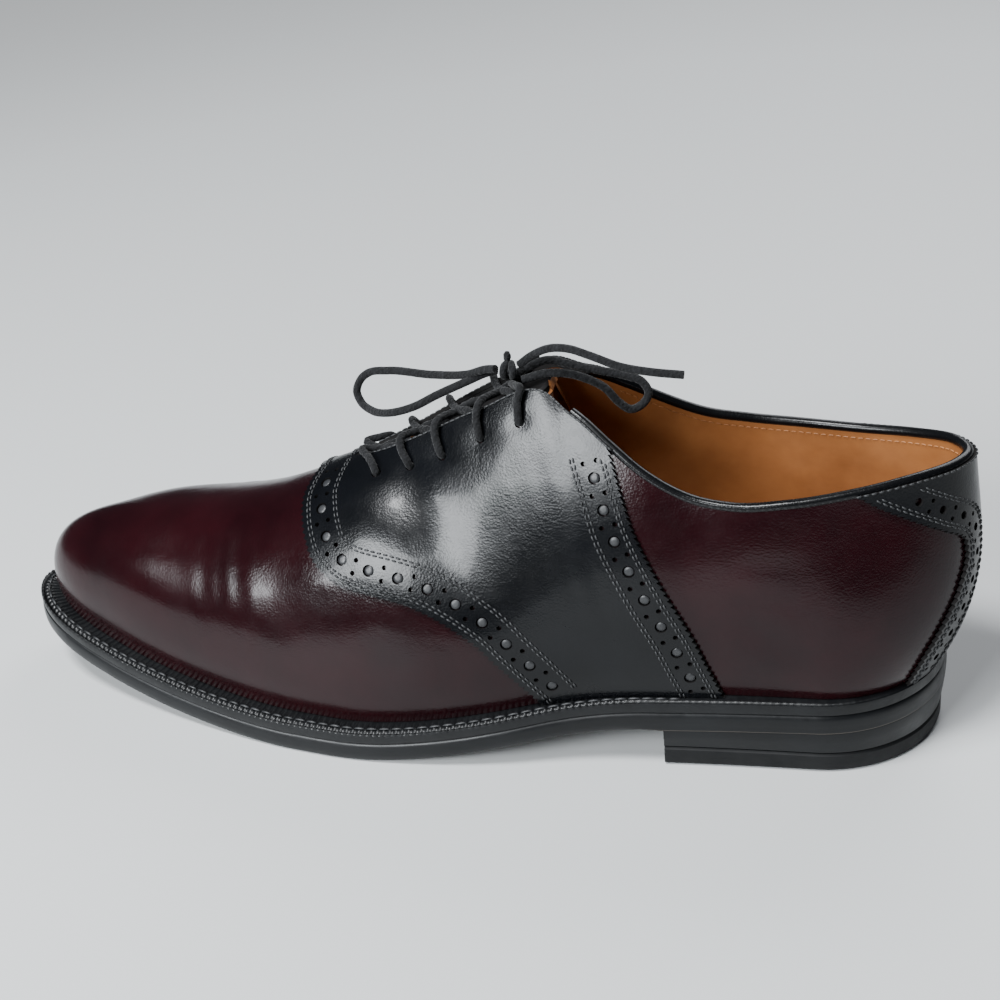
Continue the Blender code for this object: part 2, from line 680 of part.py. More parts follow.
def curve_through(points, count):
    """Evenly spaced points on a smooth curve through a route."""
    points = np.asarray(points, float)
    way = measure(points)
    fine = np.stack([smooth(way, points[:, k], np.linspace(0, 1, 400)) for k in range(3)], 1)
    share = measure(fine)
    even = np.linspace(0, 1, count)
    return np.stack([np.interp(even, share, fine[:, k]) for k in range(3)], 1)


def add_cord(name, route, radius, made, spacing=2.4):
    """Tube along a route through hand-chosen points."""
    length = np.linalg.norm(np.diff(np.asarray(route), axis=0), axis=1).sum()
    count = max(4, int(round(length / (spacing * 2 * LACE_RADIUS))) + 1)
    points = world(curve_through(route, count))
    data = bpy.data.curves.new(name, "CURVE")
    data.dimensions = "3D"
    spline = data.splines.new("POLY")
    spline.points.add(count - 1)
    for k, point in enumerate(points):
        spline.points[k].co = (*point, 1.0)
    data.bevel_depth = radius
    data.bevel_resolution = 2
    data.use_fill_caps = True
    piece = bpy.data.objects.new(name, data)
    bpy.context.collection.objects.link(piece)
    data.materials.append(made)
    return piece


def strand_route(sign, k):
    """Route from an eyelet over its own facing and down into the gap at the next eyelet opposite."""
    lift = OVERLAY_GAP + SADDLE_THICK + STRAND_CLEAR + LACE_RADIUS
    a, v = EYELETS[k]
    last = k + 1 == len(EYELETS)
    start = lifted(sign * a, v, lift)
    over = lifted(sign * (a - 0.003), (1 + v) / 2 + 0.01, lift)
    edge = lifted(sign * (a - 0.006), 1.0, lift)
    if last:
        under = np.array(KNOT_ROUTE[1]) - (0.0, 0.0, KNOT_RADIUS + STRAND_CLEAR + LACE_RADIUS)
        return [start, over, edge, (edge + under) / 2, under]
    b = EYELETS[k + 1][0]
    middle = (a + b) / 2
    pair = surface(np.array([middle, -middle]), np.ones(2))
    crest = normal_at(np.array([middle, -middle]), np.ones(2)).sum(0)
    crest /= np.linalg.norm(crest)
    top = pair.mean(0) + crest * LACE_CROWN
    opposite = surface(np.array([-sign * b, sign * b]), np.ones(2))
    towards = opposite[1] - opposite[0]
    towards /= np.linalg.norm(towards)
    end = opposite[0] + towards * (LACE_RADIUS + 3 * FIT_GAP) - normal_at(-sign * b, 1.0) * 0.0002
    return [start, over, edge, top, top + (end - top) * STRAND_REACH]


def make_crossings(made):
    """Strands that cross between the facings, each crossing one joined solid, and the pair to the knot."""
    for k in range(len(EYELETS)):
        name = "lace_top" if k + 1 == len(EYELETS) else "lace_cross_%d" % (k + 1)
        first = add_cord(name + "_a", strand_route(1, k), LACE_RADIUS, made, 1.4)
        second = add_cord(name + "_b", strand_route(-1, k), LACE_RADIUS, made, 1.4)
        bodies = []
        for strand in (first, second):
            mesh = bpy.data.meshes.new_from_object(strand.evaluated_get(bpy.context.evaluated_depsgraph_get()))
            shape = bmesh.new()
            shape.from_mesh(mesh)
            bmesh.ops.remove_doubles(shape, verts=shape.verts[:], dist=1e-7)
            bmesh.ops.recalc_face_normals(shape, faces=shape.faces[:])
            shape.to_mesh(mesh)
            shape.free()
            body = bpy.data.objects.new(name, mesh)
            bpy.context.collection.objects.link(body)
            bodies.append(body)
            bpy.data.objects.remove(strand)
        joined, cutter = bodies
        cutter.name = name + "_strand"
        joined.name = name
        cutter.hide_render = True
        cutter.display_type = "WIRE"
        union = joined.modifiers.new("join", "BOOLEAN")
        union.operation = "UNION"
        union.object = cutter


def make_bow(made):
    add_cord("lace_knot", KNOT_ROUTE, KNOT_RADIUS, made, 0.9)
    add_cord("lace_loop_front", FRONT_LOOP, LACE_RADIUS, made)
    add_cord("lace_loop_back", BACK_LOOP, LACE_RADIUS, made)
    add_cord("lace_end_long", LONG_END, LACE_RADIUS, made)
    add_cord("lace_end_short", SHORT_END, LACE_RADIUS, made)


def main():
    for piece in list(bpy.data.objects):
        bpy.data.objects.remove(piece)
    make_upper()
    make_saddle()
    make_backstay()
    make_binding()
    make_tongue()
    make_insole()
    make_welt()
    make_outsole()
    make_heel_stack()
    make_toplift()
    lace = material("lace_cord", (0.010, 0.010, 0.011), 0.8)
    make_crossings(lace)
    make_bow(lace)


main()
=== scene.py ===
# Looks of the saddle shoe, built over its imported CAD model.
# Metres, +Z up, toe towards -X, outer (lateral) side towards -Y.
import math

import bmesh
import bpy
import numpy as np
from mathutils import Matrix, Vector

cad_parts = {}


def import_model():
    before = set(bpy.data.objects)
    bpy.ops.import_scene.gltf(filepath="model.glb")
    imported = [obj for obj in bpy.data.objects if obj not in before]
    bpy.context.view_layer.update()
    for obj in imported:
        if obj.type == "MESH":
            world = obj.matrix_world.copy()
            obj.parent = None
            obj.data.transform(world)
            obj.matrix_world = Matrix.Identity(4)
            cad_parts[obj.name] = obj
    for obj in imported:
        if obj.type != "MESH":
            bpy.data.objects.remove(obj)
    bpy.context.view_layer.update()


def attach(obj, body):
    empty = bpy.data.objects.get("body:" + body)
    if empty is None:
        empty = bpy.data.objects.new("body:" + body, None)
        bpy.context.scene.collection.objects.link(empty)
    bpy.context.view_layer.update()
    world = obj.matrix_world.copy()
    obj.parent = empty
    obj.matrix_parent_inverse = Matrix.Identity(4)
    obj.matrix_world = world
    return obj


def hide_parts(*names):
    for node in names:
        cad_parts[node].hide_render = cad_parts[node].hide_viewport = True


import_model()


# Sizes of the sole. u is the distance forward from the back of the sole, so x = REST_FROM_BACK - u.
SOLE_LENGTH = 0.312
SOLE_WIDTH = 0.106
TOE_SHIFT = 0.009
HEEL_ROUND = 0.0387
TOE_ROUND = 0.109
REST_FROM_BACK = 0.042
HEEL_BREAST = 0.0845
HEEL_HEIGHT = 0.0136
HEEL_RISE = 0.0023
HEEL_TAPER = 0.0011
TOP_LIFT = 0.0064
TOE_SPRING = 0.0175
TREAD_START = 0.187
TREAD_END = 0.206
OUTSOLE_THICK = 0.0065
WELT_THICK = 0.0037
WELT_MARGIN = 0.0070
EDGE_CHAMFER = 0.0009
EDGE_INSET = 0.0003
INSOLE_THICK = 0.0032
FIT_GAP = 0.0003
OVERLAY_GAP = 0.0004

# Sizes of the upper and what is sewn on it
WALL = 0.0022
INSTEP_HEIGHT = 0.1135
SADDLE_THICK = 0.0012
STRAP_THICK = 0.0010
BINDING_HEIGHT = 0.0022
BINDING_OVERHANG = 0.0005
BINDING_END = 0.340
TONGUE_THICK = 0.0026
TONGUE_GAP = 0.0005
TONGUE_CROWN = 0.0005
TONGUE_RISE = 0.0040

# Sizes of the lace
LACE_RADIUS = 0.00130
KNOT_RADIUS = 0.0022
LACE_CROWN = 0.0005
STRAND_CLEAR = 0.0007
STRAND_REACH = 0.40

# Half widths of the sole from its centre line, as shares of SOLE_WIDTH, by share of SOLE_LENGTH
OUTLINE = {
    "share": (0.00, 0.13, 0.27, 0.36, 0.44, 0.52, 0.60, 0.66, 0.73, 0.80, 0.86, 0.90, 0.96, 1.00),
    "lateral": (0.365, 0.366, 0.379, 0.397, 0.439, 0.460, 0.466, 0.452, 0.430, 0.412, 0.402, 0.399, 0.406,
                0.406),
    "medial": (0.355, 0.352, 0.315, 0.265, 0.262, 0.341, 0.442, 0.487, 0.508, 0.492, 0.460, 0.428, 0.368,
               0.358),
}

# Welt that shows outside the upper, as shares of WELT_MARGIN
MARGINS = {
    "share": (0.00, 0.08, 0.20, 0.32, 0.44, 0.56, 0.70, 0.85, 1.00),
    "lateral": (0.22, 0.40, 0.62, 0.70, 0.85, 0.95, 1.00, 1.00, 1.05),
    "medial": (0.22, 0.30, 0.32, 0.28, 0.35, 0.65, 0.90, 1.00, 1.05),
}

# Ridge of the vamp from the throat to the top of the toe: places as shares of SOLE_LENGTH and of
# SOLE_WIDTH, heights as shares of INSTEP_HEIGHT
RIDGE = {
    "along": (0.5000, 0.5450, 0.5865, 0.6090, 0.6346, 0.6635, 0.6987, 0.7372, 0.7853, 0.8333, 0.8750),
    "across": (0.0236, 0.0236, 0.0236, 0.0245, 0.0264, 0.0283, 0.0340, 0.0396, 0.0491, 0.0585, 0.0640),
    "height": (0.850, 0.785, 0.738, 0.712, 0.682, 0.648, 0.610, 0.580, 0.554, 0.537, 0.524),
}

# Stations of the throat's bottom, of the lean's fading and of the top of the toe, where the sections
# meet in one point, with the first and last one's places along the sole
THROAT = 0.530
THROAT_ALONG = 0.5968
LEAN_FADE = 0.450
TOE_POLE = 0.760
POLE_ALONG = 0.8333

# Top edge of the upper, by station: collar, rounded facing corner, facing and throat.
# A station is the share of the way along the upper's lower edge, from the heel's back to the toe's tip.
TOP = {
    "station": (0.00, 0.05, 0.10, 0.15, 0.20, 0.24, 0.27, 0.295, 0.315, 0.335, 0.355, 0.40, 0.45,
                0.49, 0.515, 0.530),
    "along": (-0.0135, 0.0016, 0.0385, 0.0897, 0.1506, 0.2051, 0.2500, 0.2917, 0.3237, 0.3526, 0.3846, 0.4519,
              0.5224, 0.5705, 0.5913, 0.5968),
    "across": (0.000, 0.099, 0.179, 0.236, 0.269, 0.272, 0.255, 0.231, 0.193, 0.151, 0.104, 0.080,
               0.054, 0.028, 0.010, 0.000),
    "lateral_height": (0.834, 0.838, 0.834, 0.815, 0.792, 0.780, 0.798, 0.855, 0.915, 0.968, 1.000, 0.929,
                       0.826, 0.757, 0.733, 0.725),
    "medial_height": (0.834, 0.825, 0.802, 0.783, 0.780, 0.790, 0.815, 0.868, 0.925, 0.974, 1.000, 0.929,
                      0.826, 0.757, 0.733, 0.725),
}

# How a section leaves the welt (flare in degrees from upright) and reaches its top edge (lean in
# degrees from level), with the reach of both ends as shares of the section's chord
PROFILE = {
    "station": (0.00, 0.10, 0.20, 0.30, 0.40, 0.50, 0.60, 0.70, 0.80, 0.90, 1.00),
    "lateral_flare": (29.0, 20.0, 10.0, 8.0, 8.0, 12.0, 14.0, 14.0, 12.0, 10.0, 10.0),
    "medial_flare": (29.0, 18.0, 10.0, 10.0, 14.0, 12.0, 10.0, 10.0, 10.0, 10.0, 10.0),
    "low": (0.40, 0.38, 0.36, 0.34, 0.32, 0.33, 0.36, 0.38, 0.40, 0.42, 0.43),
    "lean": (84.0, 80.0, 74.0, 62.0, 44.0, 24.0, 0.00, 0.00, 0.00, 0.00, 0.00),
    "high": (0.36, 0.34, 0.34, 0.36, 0.38, 0.40, 0.42, 0.44, 0.46, 0.49, 0.52),
}

# Front and rear edge of the saddle and front edge of the back strap: station by height v,
# where v runs from 0 at the welt to 1 at the top edge
SADDLE_EDGES = {
    "v": (0.00, 0.10, 0.20, 0.30, 0.40, 0.49, 0.56, 0.68, 0.76, 0.86, 0.93, 1.00),
    "front": (0.417, 0.434, 0.452, 0.472, 0.512, 0.580, 0.600, 0.608, 0.606, 0.598, 0.586, 0.572),
    "rear": (0.249, 0.256, 0.263, 0.269, 0.276, 0.283, 0.288, 0.296, 0.301, 0.305, 0.308, 0.312),
}
STRAP_EDGE = {
    "v": (0.00, 0.15, 0.28, 0.45, 0.60, 0.68, 0.74, 0.83, 0.92, 1.00),
    "front": (0.086, 0.077, 0.066, 0.051, 0.044, 0.051, 0.074, 0.106, 0.133, 0.152),
}

# Eyelets of each facing, from the throat up: station and height v
EYELETS = ((0.510, 0.880), (0.467, 0.910), (0.437, 0.912), (0.405, 0.920), (0.375, 0.924))

# Routes of the tied lace: distance from the sole's back, place across, height
KNOT_ROUTE = ((0.1335, 0.0000, 0.1150), (0.1335, 0.0020, 0.1152), (0.1335, 0.0042, 0.1151))
FRONT_LOOP = (
    (0.1376, 0.0012, 0.1158), (0.1410, 0.0030, 0.1148), (0.1475, 0.0060, 0.1116), (0.1608, 0.0110, 0.1087),
    (0.1765, 0.0150, 0.1079), (0.1835, 0.0164, 0.1064), (0.1868, 0.0170, 0.1036), (0.1885, 0.0166, 0.0992),
    (0.1868, 0.0150, 0.0962), (0.1830, 0.0120, 0.0952), (0.1760, 0.0070, 0.0968), (0.1662, 0.0045, 0.1005),
    (0.1580, 0.0042, 0.1050), (0.1478, 0.0052, 0.1096), (0.1425, 0.0056, 0.1120), (0.1385, 0.0057, 0.1133),
)
BACK_LOOP = (
    (0.1293, 0.0045, 0.1144), (0.1226, 0.0070, 0.1164), (0.1160, 0.0082, 0.1146), (0.1092, 0.0090, 0.1126),
    (0.0987, 0.0100, 0.1100), (0.0940, 0.0094, 0.1085), (0.0920, 0.0085, 0.1050), (0.0936, 0.0070, 0.1022),
    (0.0971, 0.0050, 0.1012), (0.1002, 0.0040, 0.1037), (0.1047, 0.0030, 0.1095), (0.1090, 0.0024, 0.1122),
    (0.1147, 0.0020, 0.1142), (0.1220, 0.0012, 0.1147), (0.1293, 0.0002, 0.1128),
)
LONG_END = (
    (0.1300, 0.0008, 0.1176), (0.1260, 0.0004, 0.1208), (0.1191, -0.0020, 0.1246), (0.1130, -0.0042, 0.1254),
    (0.1072, -0.0060, 0.1244), (0.0969, -0.0080, 0.1216), (0.0885, -0.0090, 0.1207), (0.0785, -0.0090, 0.1199),
)
SHORT_END = ((0.1338, 0.0026, 0.1178), (0.1341, 0.0029, 0.1192), (0.1339, 0.0032, 0.1208))


def smooth(places, values, at):
    """Cubic curve through the points of a table."""
    places = np.asarray(places, float)
    values = np.asarray(values, float)
    at = np.asarray(at, float)
    slopes = np.gradient(values, places)
    i = np.clip(np.searchsorted(places, at, side="right") - 1, 0, len(places) - 2)
    step = places[i + 1] - places[i]
    q = np.clip((at - places[i]) / step, 0.0, 1.0)
    start = (1 + 2 * q) * (1 - q) ** 2 * values[i] + q * (1 - q) ** 2 * step * slopes[i]
    end = q * q * (3 - 2 * q) * values[i + 1] + q * q * (q - 1) * step * slopes[i + 1]
    return start + end


def ease(q):
    """Soft step from 0 to 1."""
    q = np.clip(q, 0.0, 1.0)
    return q * q * (3 - 2 * q)


def sole_edge(u, side):
    """Sideways place of the sole's edge. Side is -1 on the lateral side and 1 on the medial side."""
    share = u / SOLE_LENGTH
    half = smooth(OUTLINE["share"], OUTLINE["lateral" if side < 0 else "medial"], share) * SOLE_WIDTH
    back = 1 - np.clip(u / HEEL_ROUND, 0, 1)
    front = 1 - np.clip((SOLE_LENGTH - u) / TOE_ROUND, 0, 1)
    rounding = np.sqrt(np.clip(1 - back ** 2, 0, 1)) * np.sqrt(np.clip(1 - front ** 2, 0, 1))
    return TOE_SHIFT * ease((share - 0.45) / 0.55) + side * half * rounding


def outsole_bottom(u):
    """Height of the outsole's underside: sloped on the heel, falling to the tread, rising to the toe."""
    u = np.clip(u, 0, SOLE_LENGTH)
    heel = HEEL_HEIGHT + HEEL_RISE * np.clip(1 - u / HEEL_BREAST, 0, 1)
    shank = HEEL_HEIGHT * (1 - ease((u - HEEL_BREAST) / (TREAD_START - HEEL_BREAST)))
    toe = TOE_SPRING * (np.clip(u - TREAD_END, 0, None) / (SOLE_LENGTH - TREAD_END)) ** 1.8
    return np.where(u < HEEL_BREAST, heel, shank) + toe


def outsole_top(u):
    return outsole_bottom(u) + OUTSOLE_THICK


def welt_bottom(u):
    return outsole_top(u) + FIT_GAP


def welt_top(u):
    return welt_bottom(u) + WELT_THICK


# Fine points along the sole, crowded at both round ends
FINE_U = SOLE_LENGTH * (1 - np.cos(np.linspace(0, math.pi, 1601))) / 2


def inset_side(side, inset):
    """Points (u, y) and outward normals of one side of the sole, moved inward by an inset."""
    points = np.stack([FINE_U, sole_edge(FINE_U, side)], 1)
    along = np.gradient(points, axis=0)
    along[0] = (0, side)
    along[-1] = (0, -side)
    along /= np.linalg.norm(along, axis=1)[:, None]
    normal = np.stack([-side * along[:, 1], side * along[:, 0]], 1)
    return points - normal * np.broadcast_to(inset, FINE_U.shape)[:, None], normal


def margin(side):
    """Inset of the upper's lower edge from the sole's edge."""
    share = smooth(MARGINS["share"], MARGINS["lateral" if side < 0 else "medial"], FINE_U / SOLE_LENGTH)
    return share * WELT_MARGIN


def measure(points):
    """Share of the way along a line of points."""
    length = np.concatenate([[0], np.cumsum(np.linalg.norm(np.diff(points, axis=0), axis=1))])
    return length / length[-1]


LOWER_EDGE = {side: inset_side(side, margin(side)) for side in (-1, 1)}
LOWER_SHARE = {side: measure(LOWER_EDGE[side][0]) for side in (-1, 1)}


def signed(table, lateral, medial, mirror=1.0):
    """Table over signed stations, lateral above zero and medial below."""
    s = np.asarray(table["station"], float)
    near = np.asarray(table[lateral], float)
    far = mirror * np.asarray(table[medial], float)
    return np.concatenate([-s[:0:-1], s]), np.concatenate([far[:0:-1], near])


def profile(station, lateral, medial):
    """A column of PROFILE, smooth across the heel and round the toe."""
    s, values = signed(PROFILE, lateral, medial)
    s = np.concatenate([s[-3:-1] - 2, s, s[1:3] + 2])
    values = np.concatenate([values[-3:-1], values, values[1:3]])
    return smooth(s, values, station)


def ridge(u):
    """Place across and height of the vamp's ridge."""
    share = u / SOLE_LENGTH
    across = smooth(RIDGE["along"], RIDGE["across"], share) * SOLE_WIDTH
    return across, smooth(RIDGE["along"], RIDGE["height"], share) * INSTEP_HEIGHT


def lower_point(station):
    """Lower edge of the upper and its outward direction."""
    a = np.abs(station)
    point = np.zeros(a.shape + (3,))
    outward = np.zeros(a.shape + (3,))
    for side in (-1, 1):
        use = (station >= 0) if side < 0 else (station < 0)
        points, normal = LOWER_EDGE[side]
        for k in (0, 1):
            point[..., k] = np.where(use, np.interp(a, LOWER_SHARE[side], points[:, k]), point[..., k])
            outward[..., k] = np.where(use, np.interp(a, LOWER_SHARE[side], normal[:, k]), outward[..., k])
    point[..., 2] = welt_top(point[..., 0]) + FIT_GAP
    return point, outward


def top_point(station):
    """Upper edge of a section: collar less its binding, facing, ridge of the vamp or pole of the toe."""
    a = np.abs(station)
    s, along = signed(TOP, "along", "along")
    across = signed(TOP, "across", "across", -1.0)[1]
    height = signed(TOP, "lateral_height", "medial_height")[1]
    here = np.clip(station, -THROAT, THROAT)
    bound = 1 - ease((a - BINDING_END) / 0.02)
    open_u = smooth(s, along, here) * SOLE_LENGTH
    open_y = RIDGE["across"][0] * SOLE_WIDTH * ease(a / THROAT) - smooth(s, across, here) * SOLE_WIDTH
    open_z = smooth(s, height, here) * INSTEP_HEIGHT - bound * (BINDING_HEIGHT + FIT_GAP)
    run = np.clip((a - THROAT) / (TOE_POLE - THROAT), 0, 1)
    ridge_u = (THROAT_ALONG + (POLE_ALONG - THROAT_ALONG) * run) * SOLE_LENGTH
    ridge_y, ridge_z = ridge(ridge_u)
    ahead = a >= THROAT
    return np.stack([np.where(ahead, ridge_u, open_u), np.where(ahead, ridge_y, open_y),
                     np.where(ahead, ridge_z, open_z)], -1)


def ridge_slope(u):
    step = 0.001
    return (ridge(u + step)[1] - ridge(u - step)[1]) / (2 * step)


def lofted(station, v):
    """Lofted face of the upper as (u, y, z). v runs from 0 at the welt to 1 at the top edge."""
    station = (np.asarray(station, float) + 1.0) % 2.0 - 1.0
    v = np.clip(v, 0.0, 1.0)[..., None]
    base, out = lower_point(station)
    top = top_point(station)
    a = np.abs(station)
    up = np.array([0.0, 0.0, 1.0])
    flare = np.radians(profile(station, "lateral_flare", "medial_flare"))[..., None]
    flatten = 1 - ease((a - LEAN_FADE) / (THROAT - LEAN_FADE))
    lean = (np.radians(profile(station, "lean", "lean")) * flatten)[..., None]
    chord = np.linalg.norm(top - base, axis=-1)[..., None]
    level = (top - base) * (1.0, 1.0, 0.0)
    level /= np.linalg.norm(level, axis=-1)[..., None] + 1e-9
    turn = ease((a - 0.28) / 0.22)[..., None]
    inward = level * turn - out * (1 - turn)
    inward /= np.linalg.norm(inward, axis=-1)[..., None]
    ramp = ease((a - LEAN_FADE) / (THROAT - LEAN_FADE)) * ridge_slope(top[..., 0]) * inward[..., 0]
    ramp = ramp[..., None]
    low = (out * np.sin(flare) + up * np.cos(flare)) * chord
    low = base + low * profile(station, "low", "low")[..., None]
    high = inward * np.cos(lean) + up * (np.sin(lean) + ramp)
    high = top - high * chord * profile(station, "high", "high")[..., None]
    w = 1 - v
    return base * w ** 3 + 3 * low * w * w * v + 3 * high * w * v * v + top * v ** 3


def normal_at(station, v):
    """Outward normal of the upper's outer face."""
    station, v = np.broadcast_arrays(np.asarray(station, float), np.asarray(v, float))
    step = 0.002
    inside = np.clip(v, 0.0, 0.985)
    along = surface(station + step, inside) - surface(station - step, inside)
    rise = surface(station, np.clip(inside + step, 0, 1)) - surface(station, np.clip(inside - step, 0, 1))
    normal = np.cross(along, rise)
    slope = ridge_slope(top_point(station)[..., 0])
    crest = np.stack([-slope, np.zeros_like(slope), np.ones_like(slope)], -1)
    on_ridge = (np.abs(station) >= THROAT) & (v > 0.985)
    normal = np.where(on_ridge[..., None], crest, normal)
    normal[..., 2] = np.where(v > 0, normal[..., 2], 0.0)
    return normal / np.linalg.norm(normal, axis=-1)[..., None]


def lifted(station, v, lift):
    """Point of the upper moved off its outer face by a lift."""
    return surface(station, v) + normal_at(station, v) * lift


def world(points):
    """Points (u, y, z) in the part's frame."""
    points = np.array(points, float)
    points[..., 0] = REST_FROM_BACK - points[..., 0]
    return points


def curve_through(points, count):
    """Evenly spaced points on a smooth curve through a route."""
    points = np.asarray(points, float)
    way = measure(points)
    fine = np.stack([smooth(way, points[:, k], np.linspace(0, 1, 400)) for k in range(3)], 1)
    share = measure(fine)
    even = np.linspace(0, 1, count)
    return np.stack([np.interp(even, share, fine[:, k]) for k in range(3)], 1)


def strand_route(sign, k):
    """Route from an eyelet over its own facing and down into the gap at the next eyelet opposite."""
    lift = OVERLAY_GAP + SADDLE_THICK + STRAND_CLEAR + LACE_RADIUS
    a, v = EYELETS[k]
    last = k + 1 == len(EYELETS)
    start = lifted(sign * a, v, lift)
    over = lifted(sign * (a - 0.003), (1 + v) / 2 + 0.01, lift)
    edge = lifted(sign * (a - 0.006), 1.0, lift)
    if last:
        under = np.array(KNOT_ROUTE[1]) - (0.0, 0.0, KNOT_RADIUS + STRAND_CLEAR + LACE_RADIUS)
        return [start, over, edge, (edge + under) / 2, under]
    b = EYELETS[k + 1][0]
    middle = (a + b) / 2
    pair = surface(np.array([middle, -middle]), np.ones(2))
    crest = normal_at(np.array([middle, -middle]), np.ones(2)).sum(0)
    crest /= np.linalg.norm(crest)
    top = pair.mean(0) + crest * LACE_CROWN
    opposite = surface(np.array([-sign * b, sign * b]), np.ones(2))
    towards = opposite[1] - opposite[0]
    towards /= np.linalg.norm(towards)
    end = opposite[0] + towards * (LACE_RADIUS + 3 * FIT_GAP) - normal_at(-sign * b, 1.0) * 0.0002
    return [start, over, edge, top, top + (end - top) * STRAND_REACH]


def ring_index(count):
    """Evenly spaced fine points along the lateral edge."""
    share = LOWER_SHARE[-1]
    return np.unique(np.clip(np.searchsorted(share, np.linspace(0, 1, count)), 0, len(share) - 1))


def loop(inset, height, index, limit=None):
    """Both sides of an inset outline, at a height; inset is a value or one array per side."""
    sides = []
    for side in (-1, 1):
        points, _ = inset_side(side, inset if np.isscalar(inset) else inset[side])
        line = points[index]
        if limit is not None:
            keep = line[line[:, 0] < limit - 1e-4]
            line = np.concatenate([keep, [[limit, np.interp(limit, points[:, 0], points[:, 1])]]])
        sides.append(np.column_stack([line, height(line[:, 0])]))
    return sides


def evened(station, v):
    """Outer face of the upper, with the instep below the throat evened out along the shoe."""
    face = lofted(station, v)
    a = np.abs(station)
    share = ease((a - 0.30) / 0.08) * ease((0.68 - a) / 0.08) * ease(v / 0.15) * ease((1 - v) / 0.22)
    even = np.zeros_like(face)
    total = 0.0
    for k in range(-4, 5):
        weight = math.exp(-(k / 2.1) ** 2)
        even += weight * lofted(station + 0.020 * k, v)
        total += weight
    return face + (even / total - face) * share[..., None]


# The face once on a fine grid of signed stations and heights, read between its points afterwards
SPAN = 1200
RISE = 160
FACE = evened(*np.meshgrid(np.linspace(-1, 1, SPAN + 1), np.linspace(0, 1, RISE + 1), indexing="ij"))


def surface(station, v):
    """Outer face of the upper as (u, y, z), from the fine grid."""
    station, v = np.broadcast_arrays(np.asarray(station, float), np.asarray(v, float))
    x = ((station + 1.0) % 2.0) * SPAN / 2
    y = np.clip(v, 0.0, 1.0) * RISE
    i = np.minimum(x.astype(int), SPAN - 1)
    j = np.minimum(y.astype(int), RISE - 1)
    p = (x - i)[..., None]
    q = (y - j)[..., None]
    low = FACE[i, j] * (1 - p) + FACE[i + 1, j] * p
    return low * (1 - q) + (FACE[i, j + 1] * (1 - p) + FACE[i + 1, j + 1] * p) * q


SEED = 7
rng = np.random.default_rng(SEED)


# Camera fitted to the photograph: turns in degrees, place, and focal length and sensor in millimetres
CAMERA_TURNS = (-14.896, 29.351, -5.424)
CAMERA_PLACE = (0.02682, -0.46841, 0.34288)
CAMERA_LENS = 63.0
CAMERA_SENSOR = 36.0


def make_camera():
    yaw, pitch, roll = (math.radians(a) for a in CAMERA_TURNS)
    ahead = Vector((math.sin(yaw) * math.cos(pitch), math.cos(yaw) * math.cos(pitch), -math.sin(pitch)))
    right = Vector((math.cos(yaw), -math.sin(yaw), 0.0))
    up = right.cross(ahead)
    r2 = right * math.cos(roll) + up * math.sin(roll)
    u2 = -right * math.sin(roll) + up * math.cos(roll)
    data = bpy.data.cameras.new("camera")
    data.lens = CAMERA_LENS
    data.sensor_width = CAMERA_SENSOR
    data.sensor_fit = "HORIZONTAL"
    camera = bpy.data.objects.new("camera", data)
    bpy.context.collection.objects.link(camera)
    matrix = Matrix((r2, u2, -ahead)).transposed().to_4x4()
    matrix.translation = CAMERA_PLACE
    camera.matrix_world = matrix
    bpy.context.scene.camera = camera


def area_light(name, place, target, size, power, color=(1, 1, 1), size_y=None):
    data = bpy.data.lights.new(name, "AREA")
    data.energy = power
    data.size = size
    if size_y:
        data.shape = "RECTANGLE"
        data.size_y = size_y
    data.color = color
    lamp = bpy.data.objects.new(name, data)
    bpy.context.collection.objects.link(lamp)
    lamp.location = place
    lamp.rotation_euler = (Vector(target) - Vector(place)).to_track_quat("-Z", "Y").to_euler()


